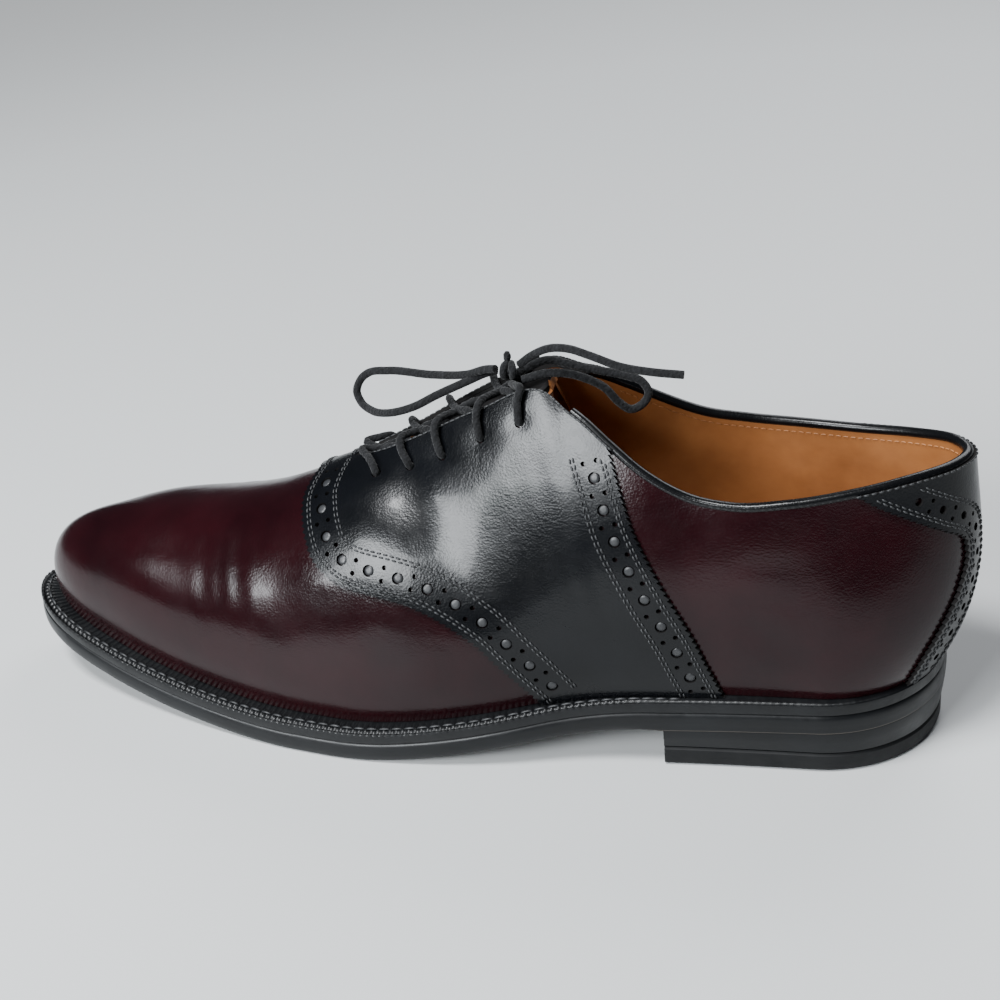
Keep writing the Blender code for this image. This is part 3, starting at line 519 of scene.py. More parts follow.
class Nodes:
    """Node tree of one material, with its texture coordinates taken from the object."""

    def __init__(self, name):
        self.made = bpy.data.materials.new(name)
        self.made.use_nodes = True
        self.tree = self.made.node_tree
        self.shader = self.tree.nodes["Principled BSDF"]
        self.place = self.add("ShaderNodeTexCoord").outputs["Object"]

    def add(self, kind, **settings):
        node = self.tree.nodes.new(kind)
        for key, value in settings.items():
            setattr(node, key, value)
        return node

    def link(self, out, into):
        self.tree.links.new(out, into)

    def noise(self, scale, detail=3.0, rough=0.55, stretch=None):
        node = self.add("ShaderNodeTexNoise")
        node.inputs["Scale"].default_value = scale
        node.inputs["Detail"].default_value = detail
        node.inputs["Roughness"].default_value = rough
        if stretch:
            mapping = self.add("ShaderNodeMapping")
            mapping.inputs["Scale"].default_value = stretch
            self.link(self.place, mapping.inputs["Vector"])
            self.link(mapping.outputs["Vector"], node.inputs["Vector"])
        else:
            self.link(self.place, node.inputs["Vector"])
        return node.outputs["Fac"]

    def cells(self, scale, feature="F1"):
        node = self.add("ShaderNodeTexVoronoi", feature=feature)
        node.inputs["Scale"].default_value = scale
        self.link(self.place, node.inputs["Vector"])
        return node.outputs["Distance"]

    def ramp(self, value, stops):
        node = self.add("ShaderNodeValToRGB")
        ramp = node.color_ramp
        while len(ramp.elements) < len(stops):
            ramp.elements.new(0.5)
        for element, (at, color) in zip(ramp.elements, stops):
            element.position = at
            element.color = (*color, 1.0) if len(color) == 3 else color
        self.link(value, node.inputs["Fac"])
        return node.outputs["Color"]

    def span(self, value, low, high, start=0.0, end=1.0):
        node = self.add("ShaderNodeMapRange")
        node.inputs["From Min"].default_value = start
        node.inputs["From Max"].default_value = end
        node.inputs["To Min"].default_value = low
        node.inputs["To Max"].default_value = high
        self.link(value, node.inputs["Value"])
        return node.outputs["Result"]

    def bump(self, layers):
        """Bump chain; layers are (height output, strength, distance)."""
        normal = None
        for height, strength, distance in layers:
            node = self.add("ShaderNodeBump")
            node.inputs["Strength"].default_value = strength
            node.inputs["Distance"].default_value = distance
            self.link(height, node.inputs["Height"])
            if normal is not None:
                self.link(normal, node.inputs["Normal"])
            normal = node.outputs["Normal"]
        self.link(normal, self.shader.inputs["Normal"])

    def set(self, **values):
        names = {"color": "Base Color", "rough": "Roughness", "coat": "Coat Weight",
                 "coat_rough": "Coat Roughness", "specular": "Specular IOR Level",
                 "sheen": "Sheen Weight", "sheen_rough": "Sheen Roughness"}
        for key, value in values.items():
            socket = self.shader.inputs[names[key]]
            if isinstance(value, bpy.types.NodeSocket):
                self.link(value, socket)
            elif key == "color":
                socket.default_value = (*value, 1.0)
            else:
                socket.default_value = value


def leather(name, dark, light, rough=(0.22, 0.36), grain=0.35, coat=0.14):
    """Smooth polished leather: cloudy colour, fine pores and wax haze."""
    n = Nodes(name)
    cloud = n.noise(28.0, 4.0, 0.6)
    color = n.ramp(cloud, [(0.30, dark), (0.72, light)])
    n.set(color=color)
    wax = n.noise(75.0, 5.0, 0.65)
    n.set(rough=n.span(wax, rough[0], rough[1], 0.3, 0.7))
    n.set(coat=coat, coat_rough=0.10, specular=0.20)
    pores = n.cells(1500.0)
    fine = n.noise(2600.0, 2.0)
    soft = n.noise(160.0, 3.0)
    n.bump([(soft, 0.10, 0.0010), (pores, grain, 0.00010), (fine, grain * 0.6, 0.00006)])
    return n.made


def plain(name, dark, light, rough=(0.4, 0.6), scale=60.0, bump_scale=900.0, strength=0.3, depth=0.0001,
          coat=0.0):
    """Clouded colour over two sizes of fine bumps."""
    n = Nodes(name)
    n.set(color=n.ramp(n.noise(scale, 4.0, 0.6), [(0.3, dark), (0.7, light)]))
    n.set(rough=n.span(n.noise(scale * 2.2, 4.0), rough[0], rough[1], 0.3, 0.7))
    n.set(coat=coat, coat_rough=0.2)
    n.bump([(n.noise(bump_scale, 3.0), strength, depth),
            (n.noise(bump_scale * 0.2, 3.0), strength * 0.7, depth * 4)])
    return n.made


BURGUNDY = leather("burgundy", (0.0058, 0.0009, 0.0016), (0.0135, 0.0020, 0.0032), rough=(0.17, 0.27))
BLACK = leather("black_saddle", (0.0010, 0.0012, 0.0016), (0.0028, 0.0032, 0.0042), rough=(0.19, 0.30))
STRAP = leather("black_strap", (0.0012, 0.0014, 0.0018), (0.0034, 0.0038, 0.0048), rough=(0.26, 0.38))
BINDING = leather("black_binding", (0.0012, 0.0013, 0.0016), (0.0034, 0.0036, 0.0042), rough=(0.22, 0.34))
TONGUE = plain("black_tongue", (0.004, 0.0036, 0.0038), (0.011, 0.010, 0.010), rough=(0.5, 0.65))
LINING = plain("tan_lining", (0.215, 0.075, 0.020), (0.345, 0.135, 0.042), rough=(0.42, 0.58), scale=38.0,
               bump_scale=1400.0, strength=0.25, depth=0.00008)
SOCK = plain("tan_sock", (0.20, 0.075, 0.024), (0.36, 0.15, 0.055), rough=(0.5, 0.65), scale=30.0)
RIM = plain("cut_edge", (0.003, 0.003, 0.003), (0.009, 0.008, 0.008), rough=(0.75, 0.9))
RIM.node_tree.nodes["Principled BSDF"].inputs["Specular IOR Level"].default_value = 0.15
SOLE = plain("sole_edge", (0.0016, 0.0018, 0.0022), (0.0042, 0.0048, 0.0056), rough=(0.34, 0.50), scale=45.0,
             bump_scale=420.0, strength=0.35, depth=0.00015, coat=0.10)
TREAD = plain("sole_bottom", (0.020, 0.017, 0.014), (0.055, 0.045, 0.036), rough=(0.55, 0.75), scale=35.0)
RUBBER = plain("top_lift", (0.0026, 0.0028, 0.0032), (0.0065, 0.0068, 0.0074), rough=(0.55, 0.7))
WELT = plain("welt", (0.0016, 0.0018, 0.0022), (0.0045, 0.0050, 0.0058), rough=(0.38, 0.55), scale=90.0,
             bump_scale=700.0, strength=0.5, depth=0.0002, coat=0.15)
THREAD = plain("thread", (0.006, 0.0063, 0.0072), (0.022, 0.023, 0.025), rough=(0.42, 0.6), scale=300.0,
               bump_scale=3000.0)
PUNCH = plain("punched", (0.010, 0.0105, 0.012), (0.024, 0.025, 0.027), rough=(0.35, 0.5), scale=300.0,
              bump_scale=2000.0)
TIP = plain("lace_tip", (0.004, 0.004, 0.005), (0.010, 0.010, 0.011), rough=(0.25, 0.35), coat=0.3)


def lace_material():
    """Round braided cotton with a soft nap; the plaits are in the cord's mesh."""
    n = Nodes("black_lace")
    n.set(color=n.ramp(n.noise(500.0, 3.0), [(0.3, (0.0030, 0.0031, 0.0036)),
                                             (0.75, (0.0105, 0.0108, 0.0120))]))
    n.set(rough=0.9, sheen=0.08, sheen_rough=0.5, specular=0.2)
    n.bump([(n.cells(1100.0), 0.9, 0.0004), (n.noise(2400.0, 3.0), 0.6, 0.0002)])
    return n.made


LACE = lace_material()
for made in (SOLE, WELT, RUBBER, TONGUE):
    made.node_tree.nodes["Principled BSDF"].inputs["Specular IOR Level"].default_value = 0.25


def mesh_piece(name, points, faces, mats, kinds=None, angle=40.0):
    """Mesh object that rides on the shoe. Kinds are material indices; angle is where edges turn sharp."""
    mesh = bpy.data.meshes.new(name)
    mesh.from_pydata(world(np.asarray(points, float)).tolist(), [], faces)
    for made in mats:
        mesh.materials.append(made)
    if kinds is not None:
        mesh.polygons.foreach_set("material_index", np.asarray(kinds, np.int32))
    piece = bpy.data.objects.new(name, mesh)
    bpy.context.collection.objects.link(piece)
    shape = bmesh.new()
    shape.from_mesh(mesh)
    bmesh.ops.remove_doubles(shape, verts=shape.verts[:], dist=2e-6)
    bmesh.ops.recalc_face_normals(shape, faces=shape.faces[:])
    shape.to_mesh(mesh)
    shape.free()
    mesh.shade_smooth()
    if angle:
        mesh.set_sharp_from_angle(angle=math.radians(angle))
    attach(piece, "root")
    return piece


def grid(columns, rows, offset=0, flip=False):
    """Quads of a grid of points kept column by column."""
    i, j = np.meshgrid(np.arange(columns - 1), np.arange(rows - 1), indexing="ij")
    a = (offset + i * rows + j).ravel()
    quad = np.stack([a, a + rows, a + rows + 1, a + 1], 1)
    return (quad[:, ::-1] if flip else quad).tolist()


def rim_faces(columns, rows, base, size):
    """Quads that join the rims of two grids, the second kept size points after the first."""
    ring = [(i, 0) for i in range(columns)] + [(columns - 1, j) for j in range(1, rows)]
    ring += [(i, rows - 1) for i in range(columns - 2, -1, -1)] + [(0, j) for j in range(rows - 2, 0, -1)]
    line = [base + i * rows + j for i, j in ring]
    return [(a, b, b + size, a + size) for a, b in zip(line, line[1:] + line[:1])]


def shell(station, v, low, high, sides, extra=None):
    """Closed sheet between two lifts over a grid of stations and heights, on one or both sides."""
    points = []
    faces = []
    kinds = []
    base = 0
    columns, rows = station.shape
    for sign in sides:
        s = station * sign
        normal = normal_at(s, v)
        outer = surface(s, v) + normal * high
        if extra is not None:
            outer = outer + normal * extra(s, v)[..., None]
        inner = surface(s, v) + normal * low
        size = columns * rows
        points += [outer.reshape(-1, 3), inner.reshape(-1, 3)]
        top = grid(columns, rows, base, sign < 0)
        under = grid(columns, rows, base + size, sign > 0)
        rim = rim_faces(columns, rows, base, size)
        faces += top + under + rim
        kinds += [0] * len(top) + [1] * len(under) + [2] * len(rim)
        base += 2 * size
    return points, faces, kinds


def arc(points):
    """Length along a line, from its start to each of its points."""
    return np.concatenate([[0], np.cumsum(np.linalg.norm(np.diff(points, axis=0), axis=1))])


def resample(route, spacing=None, count=None, sign=1):
    """Even points (station, v) along a route given in station and v."""
    route = np.asarray(route, float)
    length = arc(surface(route[:, 0] * sign, route[:, 1]))
    n = count or max(2, int(round(length[-1] / spacing)) + 1)
    at = np.linspace(0, length[-1], n)
    return np.stack([np.interp(at, length, route[:, k]) for k in (0, 1)], 1)


def frame_at(route, sign):
    """Points, unit tangents, normals and sideways directions along a route."""
    p = surface(route[:, 0] * sign, route[:, 1])
    n = normal_at(route[:, 0] * sign, np.clip(route[:, 1], 0.004, 1.0))
    t = np.gradient(p, axis=0)
    t /= np.linalg.norm(t, axis=1)[:, None] + 1e-12
    side = np.cross(n, t)
    side /= np.linalg.norm(side, axis=1)[:, None] + 1e-12
    return p, t, n, side


def offset_route(route, distance, sign=1, steps=8):
    """Route moved sideways on the surface by a distance, as seen on the lateral side."""
    route = resample(route, count=len(route) * 2, sign=sign)
    for _ in range(steps):
        side = frame_at(route, sign)[3]
        h = 0.0015
        ahead = surface((route[:, 0] + h) * sign, route[:, 1])
        behind = surface((route[:, 0] - h) * sign, route[:, 1])
        ds = (ahead - behind) / (2 * h)
        lo = np.clip(route[:, 1] - h, 0, 1)
        hi = np.clip(route[:, 1] + h, 0, 1)
        dv = (surface(route[:, 0] * sign, hi) - surface(route[:, 0] * sign, lo)) / (hi - lo)[:, None]
        move = side * distance / steps
        a = (ds * ds).sum(1)
        b = (ds * dv).sum(1)
        c = (dv * dv).sum(1)
        e = (move * ds).sum(1)
        f = (move * dv).sum(1)
        det = a * c - b * b
        det = np.where(np.abs(det) < 1e-9, 1e-9, det)
        step = np.stack([(e * c - f * b) / det, (a * f - b * e) / det], 1)
        step = np.clip(step, -0.03, 0.03)
        route = route + step
        route[:, 1] = np.clip(route[:, 1], 0.0, 1.0)
        smooth_route = route.copy()
        smooth_route[1:-1] = (route[:-2] + 2 * route[1:-1] + route[2:]) / 4
        route = resample(smooth_route, count=len(route), sign=sign)
    return route


def stitches(name, rows, pitch=0.00215, length=0.00175, width=0.00066, made=None, cord_lift=0.00014):
    """Short rounded stitches along routes; rows are (route, sign, lift of the face they are sewn in)."""
    ring = 6
    turns = [2 * math.pi * k / ring for k in range(ring)]
    section = np.array([[math.cos(a), math.sin(a)] for a in turns])
    profile_along = ((-0.5, 0.25, -0.9), (-0.34, 0.85, -0.1), (0.0, 1.0, 0.25), (0.34, 0.85, -0.1),
                     (0.5, 0.25, -0.9))
    points = []
    faces = []
    for route, sign, face in rows:
        line = resample(route, spacing=pitch, sign=sign)
        p, t, n, side = frame_at(line, sign)
        for k in range(len(line)):
            tilt = rng.normal(0, 0.06)
            along = t[k] * math.cos(tilt) + side[k] * math.sin(tilt)
            across = np.cross(n[k], along)
            base = len(points)
            for share, wide, drop in profile_along:
                centre = p[k] + n[k] * (face + cord_lift + drop * width * 0.4) + along * share * length
                for x, y in section:
                    points.append(centre + (across * x + n[k] * y * 0.8) * width / 2 * wide)
            for a in range(len(profile_along) - 1):
                for b in range(ring):
                    q = base + a * ring + b
                    w = base + a * ring + (b + 1) % ring
                    faces.append((q, w, w + ring, q + ring))
            faces.append(tuple(base + b for b in range(ring))[::-1])
            faces.append(tuple(base + (len(profile_along) - 1) * ring + b for b in range(ring)))
    return mesh_piece(name, np.array(points), faces, [made or THREAD], angle=None)


def hole_cutter(name, holes, depth=0.0030):
    """Joined pins, one for each hole: (point, normal, radius)."""
    points = []
    faces = []
    count = 20
    for point, normal, radius in holes:
        normal = normal / np.linalg.norm(normal)
        x = np.cross(normal, (0.0, 0.0, 1.0))
        x /= np.linalg.norm(x)
        y = np.cross(normal, x)
        base = len(points)
        for level in (-depth / 2, depth / 2):
            for k in range(count):
                a = 2 * math.pi * k / count
                points.append(point + normal * level + (x * math.cos(a) + y * math.sin(a)) * radius)
        for k in range(count):
            a, b = base + k, base + (k + 1) % count
            faces.append((a, b, b + count, a + count))
        faces.append(tuple(base + k for k in range(count))[::-1])
        faces.append(tuple(base + count + k for k in range(count)))
    mesh = bpy.data.meshes.new(name)
    mesh.from_pydata(world(np.array(points)).tolist(), [], faces)
    mesh.materials.append(RIM)
    piece = bpy.data.objects.new(name, mesh)
    bpy.context.collection.objects.link(piece)
    shape = bmesh.new()
    shape.from_mesh(mesh)
    bmesh.ops.recalc_face_normals(shape, faces=shape.faces[:])
    shape.to_mesh(mesh)
    shape.free()
    return piece


def punch(piece, holes):
    """Cuts the holes out of a sheet and removes the pins."""
    pins = hole_cutter("pins", holes)
    cut = piece.modifiers.new("holes", "BOOLEAN")
    cut.operation = "DIFFERENCE"
    cut.object = pins
    cut.solver = "MANIFOLD"
    depsgraph = bpy.context.evaluated_depsgraph_get()
    mesh = bpy.data.meshes.new_from_object(piece.evaluated_get(depsgraph))
    piece.modifiers.clear()
    piece.data = mesh
    mesh.set_sharp_from_angle(angle=math.radians(40))
    bpy.data.objects.remove(pins)


def studs(name, holes, made, lift, share=0.80, rise=0.00028):
    """Low domed discs at the bottom of the large holes, where the backing leather shows."""
    points = []
    faces = []
    count = 16
    for point, normal, radius in holes:
        x = np.cross(normal, (0.0, 0.0, 1.0))
        x /= np.linalg.norm(x)
        y = np.cross(normal, x)
        base = len(points)
        for r, z in ((share, 0.0), (share * 0.85, 0.8), (share * 0.4, 1.0)):
            for k in range(count):
                a = 2 * math.pi * k / count
                spoke = x * math.cos(a) + y * math.sin(a)
                points.append(point + normal * (lift + z * rise) + spoke * radius * r)
        for ring in range(2):
            for k in range(count):
                a = base + ring * count + k
                b = base + ring * count + (k + 1) % count
                faces.append((a, b, b + count, a + count))
        faces.append(tuple(base + 2 * count + k for k in range(count)))
    return mesh_piece(name, np.array(points), faces, [made], angle=None)


# Edges of the saddle and strap as routes of station and height v, and the height of each one's face
V_FINE = np.linspace(0.0, 1.0, 161)
FRONT_EDGE = np.stack([smooth(SADDLE_EDGES["v"], SADDLE_EDGES["front"], V_FINE), V_FINE], 1)
REAR_EDGE = np.stack([smooth(SADDLE_EDGES["v"], SADDLE_EDGES["rear"], V_FINE), V_FINE], 1)
WING_EDGE = np.stack([smooth(STRAP_EDGE["v"], STRAP_EDGE["front"], V_FINE), V_FINE], 1)
SADDLE_FACE = OVERLAY_GAP + SADDLE_THICK
STRAP_FACE = OVERLAY_GAP + STRAP_THICK


# Soft creases and dents of the upper: station and v of both ends, width and depth in metres
CREASES = (
    (0.742, 0.30, 0.712, 0.80, 0.0022, 0.00009), (0.728, 0.26, 0.700, 0.92, 0.0030, 0.00010),
    (0.716, 0.34, 0.690, 0.84, 0.0018, 0.00009), (0.703, 0.22, 0.676, 0.78, 0.0034, 0.00013),
    (0.690, 0.36, 0.668, 0.90, 0.0020, 0.00008), (0.655, 0.20, 0.636, 0.66, 0.0080, 0.00040),
    (0.612, 0.10, 0.600, 0.50, 0.0090, 0.00042), (0.566, 0.08, 0.552, 0.36, 0.0080, 0.00040),
    (-0.735, 0.34, -0.706, 0.90, 0.0024, 0.00010), (-0.712, 0.28, -0.690, 0.86, 0.0032, 0.00012),
    (-0.690, 0.34, -0.668, 0.80, 0.0020, 0.00009), (-0.650, 0.20, -0.634, 0.72, 0.0070, 0.00040),
    (-0.600, 0.12, -0.592, 0.52, 0.0080, 0.00040),
    (0.235, 0.46, 0.180, 0.26, 0.0042, 0.00026), (0.240, 0.58, 0.186, 0.52, 0.0034, 0.00012),
    (0.236, 0.72, 0.180, 0.70, 0.0040, 0.00010), (-0.235, 0.50, -0.185, 0.34, 0.0042, 0.00013),
)


def creases(s, v):
    """Depth of the soft creases at stations and heights, below zero in a trough."""
    p = surface(s, v)
    total = np.zeros(s.shape)
    for s0, v0, s1, v1, width, depth in CREASES:
        t = np.linspace(0, 1, 24)
        bend = 0.008 * np.sin(math.pi * t) * np.sign(s0)
        line = surface(s0 + (s1 - s0) * t + bend, v0 + (v1 - v0) * t)
        near = np.full(s.shape, 1e9)
        where = np.zeros(s.shape)
        for k, q in enumerate(line):
            d = np.linalg.norm(p - q, axis=-1)
            closer = d < near
            near = np.where(closer, d, near)
            where = np.where(closer, t[k], where)
        fade = np.sin(math.pi * np.clip(where, 0.0, 1.0)) ** 0.7
        g = near / width
        total += -depth * fade * np.exp(-g * g) + 0.45 * depth * fade * np.exp(-((g - 1.9) ** 2) / 0.8)
    return total


def make_upper():
    """Skin of the upper with its lining, creases and top rim."""
    side = np.unique(np.round(np.concatenate([
        np.linspace(0, 0.30, 70), np.linspace(0.30, 0.56, 70), np.linspace(0.56, 0.80, 90), np.linspace(0.80, 1, 60),
        [THROAT, TOE_POLE, BINDING_END]]), 5))
    v = 1 - (1 - np.linspace(0, 1, 64)) ** 1.15
    s, vv = np.meshgrid(side, v, indexing="ij")
    points, faces, kinds = shell(s, vv, -WALL, 0.0, (1, -1), extra=creases)
    points = np.concatenate(points)
    piece = mesh_piece("upper_skin", points, faces, [BURGUNDY, LINING, RIM], kinds, angle=60)
    # the rims that the shell makes at the heel's back, toe and ridge close on each other and go
    shape = bmesh.new()
    shape.from_mesh(piece.data)
    inside = [e for e in shape.edges if len(e.link_faces) > 2]
    doomed = {f for e in inside for f in e.link_faces if f.material_index == 2}
    bmesh.ops.delete(shape, geom=list(doomed), context="FACES")
    bmesh.ops.recalc_face_normals(shape, faces=shape.faces[:])
    shape.to_mesh(piece.data)
    shape.free()
    piece.data.shade_smooth()
    piece.data.set_sharp_from_angle(angle=math.radians(60))
    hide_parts("upper")


# Pinked edges: pitch and depth of the teeth, and how far in from the edge they reach
TOOTH_PITCH = 0.0021
TOOTH_DEPTH = 0.0010
TOOTH_REACH = 0.0016


def tooth(length):
    """Pinked edge: pointed teeth along an edge."""
    return np.abs((length / TOOTH_PITCH) % 1.0 - 0.5) * 2.0


def overlay_grid(edge_a, edge_b, rows, shares, sign, teeth=(True, True)):
    """Grid between two edges with pinked teeth along them."""
    v = np.linspace(0, 1, rows)
    sa = np.interp(v, edge_a[:, 1], edge_a[:, 0])
    sb = np.interp(v, edge_b[:, 1], edge_b[:, 0])
    grid_s = sa[None, :] + (sb - sa)[None, :] * shares[:, None]
    grid_v = np.broadcast_to(v, grid_s.shape).copy()
    for column, edge_s, inward, on in ((0, sa, 1.0, teeth[0]), (len(shares) - 1, sb, -1.0, teeth[1])):
        if not on:
            continue
        p = surface(edge_s * sign, v)
        length = arc(p)
        tangent = np.gradient(p, axis=0)
        tangent /= np.linalg.norm(tangent, axis=1)[:, None]
        h = 0.001
        along_s = surface((edge_s + h) * sign, v) - surface((edge_s - h) * sign, v)
        per = np.linalg.norm(along_s, axis=1) / (2 * h)
        along_s /= np.linalg.norm(along_s, axis=1)[:, None]
        slant = np.sqrt(np.clip(1 - ((tangent * along_s).sum(1)) ** 2, 0.12, 1))
        pull = (1 - tooth(length)) * TOOTH_DEPTH / slant / per
        run = np.abs(shares - shares[column])[:, None] * np.abs(sb - sa)[None, :] * per[None, :]
        fall = np.clip(1 - run / TOOTH_REACH, 0, 1)
        grid_s += inward * pull[None, :] * fall
    return grid_s, grid_v


def saddle_relief(s, v):
    """Height of the saddle's face, pulled in round the eyelets."""
    p = surface(s, v)
    total = np.zeros(s.shape)
    for a, ve in EYELETS:
        for sign in (1, -1):
            q = surface(np.array(sign * a), np.array(ve))
            d = np.linalg.norm(p - q, axis=-1)
            total -= 0.0003 * np.exp(-(d / 0.0040) ** 2)
    return total


def brogue(edge, inset, sign, face, span, first=0.004, pitch=0.0098, big=0.0019, small=0.00078, gap=0.0021):
    """Large holes along a band with a pair of small ones between: lists of (point, normal, radius)."""
    route = offset_route(edge, inset, sign)
    length = arc(surface(route[:, 0] * sign, route[:, 1]))
    large = []
    little = []
    at = first
    while at < length[-1] - 0.002:
        for centre, kind in ((at, 0), (at + pitch / 2, 1)):
            if centre > length[-1] - 0.0015:
                continue
            q = np.array([np.interp(centre, length, route[:, k]) for k in (0, 1)])
            if not span[0] <= q[1] <= span[1]:
                continue
            beyond = min(centre + 0.0005, length[-1])
            ahead = np.array([np.interp(beyond, length, route[:, k]) for k in (0, 1)])
            point = surface(q[0] * sign, q[1])
            normal = normal_at(q[0] * sign, q[1])
            t = surface(ahead[0] * sign, ahead[1]) - point
            t /= np.linalg.norm(t) + 1e-12
            side = np.cross(normal, t)
            if kind == 0:
                large.append((point + normal * face, normal, big))
            else:
                little.append((point + normal * face + side * gap, normal, small))
                little.append((point + normal * face - side * gap, normal, small))
        at += pitch
    return large, little


def make_saddle():
    """Both sides of the saddle with its holes and backing; gives the rows of its stitches."""
    thread_rows = []
    big_holes = []
    for sign in (1, -1):
        shares = np.concatenate([np.linspace(0, 0.02, 5), np.linspace(0.02, 0.98, 56)[1:],
                                 np.linspace(0.98, 1, 5)[1:]])
        s, v = overlay_grid(REAR_EDGE, FRONT_EDGE, 420, shares, sign)
        points, faces, kinds = shell(s, v, OVERLAY_GAP * 0.5, SADDLE_FACE, (sign,), extra=saddle_relief)
        piece = mesh_piece("saddle_side_%s" % ("a" if sign > 0 else "b"), np.concatenate(points), faces,
                           [BLACK, RIM], np.array([0, 0, 1])[kinds], angle=40)
        large, little = brogue(FRONT_EDGE, 0.0078 * sign, sign, SADDLE_FACE, (0.02, 0.96))
        rear_large, rear_little = brogue(REAR_EDGE, -0.0068 * sign, sign, SADDLE_FACE, (0.02, 0.90))
        eyelets = []
        for a, ve in EYELETS:
            normal = normal_at(np.array(sign * a), np.array(ve))
            eyelets.append((surface(np.array(sign * a), np.array(ve)) + normal * SADDLE_FACE, normal, 0.0016))
        punch(piece, large + little + rear_large + rear_little + eyelets)
        big_holes += large + rear_large
        for dist in (0.0026, 0.0037, 0.0126, 0.0137):
            route = offset_route(FRONT_EDGE, dist * sign, sign)
            route = route[(route[:, 1] > 0.01) & (route[:, 1] < 0.985)]
            thread_rows.append((route, sign, SADDLE_FACE))
        for dist in (0.0024, 0.0034, 0.0114, 0.0125):
            route = offset_route(REAR_EDGE, -dist * sign, sign)
            keep = (route[:, 1] > 0.01) & (route[:, 1] < 0.93)
            thread_rows.append((route[keep], sign, SADDLE_FACE))
        edge = np.stack([np.linspace(0.318, THROAT - 0.004, 90), np.full(90, 1.0)], 1)
        for dist in (0.0026, 0.0040):
            route = offset_route(edge, dist * sign, sign)
            thread_rows.append((route, sign, SADDLE_FACE))
    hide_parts("saddle")
    studs_piece = studs("saddle_backing", big_holes, PUNCH, -SADDLE_THICK * 0.48)
    return thread_rows


def make_strap():
    """Both halves of the back strap with their holes; gives the rows of its stitches."""
    thread_rows = []
    shares = np.concatenate([np.linspace(0, 0.94, 40), np.linspace(0.94, 1, 6)[1:]])
    spine = np.stack([np.zeros_like(V_FINE), V_FINE], 1)
    for sign in (1, -1):
        s, v = overlay_grid(spine, WING_EDGE, 330, shares, sign, teeth=(False, True))
        points, faces, kinds = shell(s, v, OVERLAY_GAP * 0.5, STRAP_FACE, (sign,))
        piece = mesh_piece("strap_side_%s" % ("a" if sign > 0 else "b"), np.concatenate(points), faces,
                           [STRAP, RIM], np.array([0, 0, 1])[kinds], angle=40)
        large, little = brogue(WING_EDGE, 0.0062 * sign, sign, STRAP_FACE, (0.03, 0.93), pitch=0.0085,
                               big=0.00125, small=0.0007, gap=0.0017)
        punch(piece, large + little)
        for dist in (0.0022, 0.0032, 0.0098, 0.0108):
            route = offset_route(WING_EDGE, dist * sign, sign)
            route = route[(route[:, 1] > 0.01) & (route[:, 1] < 0.96)]
            if len(route) > 8:
                thread_rows.append((route, sign, STRAP_FACE))
        if sign > 0:
            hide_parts("backstay")
    return thread_rows


def make_lining_seam():
    """Tape over the lining's back seam and the stitches down its sides and round the collar."""
    s, v = np.meshgrid(np.linspace(-0.014, 0.014, 9), np.linspace(0.30, 0.965, 60), indexing="ij")
    bulge = 1 - (s / 0.014) ** 2
    normal = normal_at(s, v)
    top = surface(s, v) - normal * (WALL + 0.00010 + 0.00040 * bulge ** 0.5)[..., None]
    low = surface(s, v) - normal * (WALL - 0.0003)
    points = np.concatenate([top.reshape(-1, 3), low.reshape(-1, 3)])
    piece = mesh_piece("lining_seam", points, grid(9, 60, 0) + grid(9, 60, 540, True), [LINING], angle=60)
    rows = []
    for at in (-0.010, 0.010):
        rows.append((np.stack([np.full(40, at), np.linspace(0.32, 0.95, 40)], 1), 1, -WALL - 0.00055))
    for sign in (1, -1):
        line = np.stack([np.linspace(0.016, 0.318, 120), np.full(120, 0.955)], 1)
        rows.append((line, sign, -WALL - 0.00022))
    seams = stitches("lining_stitching", rows, pitch=0.0024, width=0.0005, made=SOCK)


def make_binding():
    """Rolled binding round the collar; gives the two rows of stitches below it."""
    stations = np.linspace(-BINDING_END, BINDING_END, 401)
    ones = np.ones_like(stations)
    edge = lifted(stations, ones, -WALL / 2)
    across = normal_at(stations, ones)
    along = np.gradient(edge, axis=0)
    along /= np.linalg.norm(along, axis=1)[:, None]
    upright = np.cross(across, along)
    upright *= np.sign(upright[:, 2])[:, None]
    upright /= np.linalg.norm(upright, axis=1)[:, None]
    half = WALL / 2 + BINDING_OVERHANG
    turns = np.linspace(-0.32 * math.pi, 1.32 * math.pi, 21)
    rings = [edge + across * half * math.cos(a) + upright * (0.00045 + half * 0.95 * math.sin(a))
             for a in turns]
    points = np.stack(rings, 1).reshape(-1, 3)
    count = len(turns)
    faces = []
    for i in range(len(stations) - 1):
        for j in range(count):
            a, b = i * count + j, i * count + (j + 1) % count
            faces.append((a, a + count, b + count, b))
    faces.append(tuple(range(count)))
    faces.append(tuple(range(len(points) - 1, len(points) - count - 1, -1)))
    piece = mesh_piece("collar_roll", points, faces, [BINDING], angle=50)
    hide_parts("collar_binding")
    rows = []
    for sign in (1, -1):
        line = np.stack([np.linspace(0.006, 0.312, 120), np.ones(120)], 1)
        for distance in (0.0030, 0.0043):
            r = offset_route(line, distance * sign, sign)
            rows.append((r[r[:, 0] < 0.150], sign, STRAP_FACE))
            rows.append((r[r[:, 0] >= 0.152], sign, 0.0))
    return rows


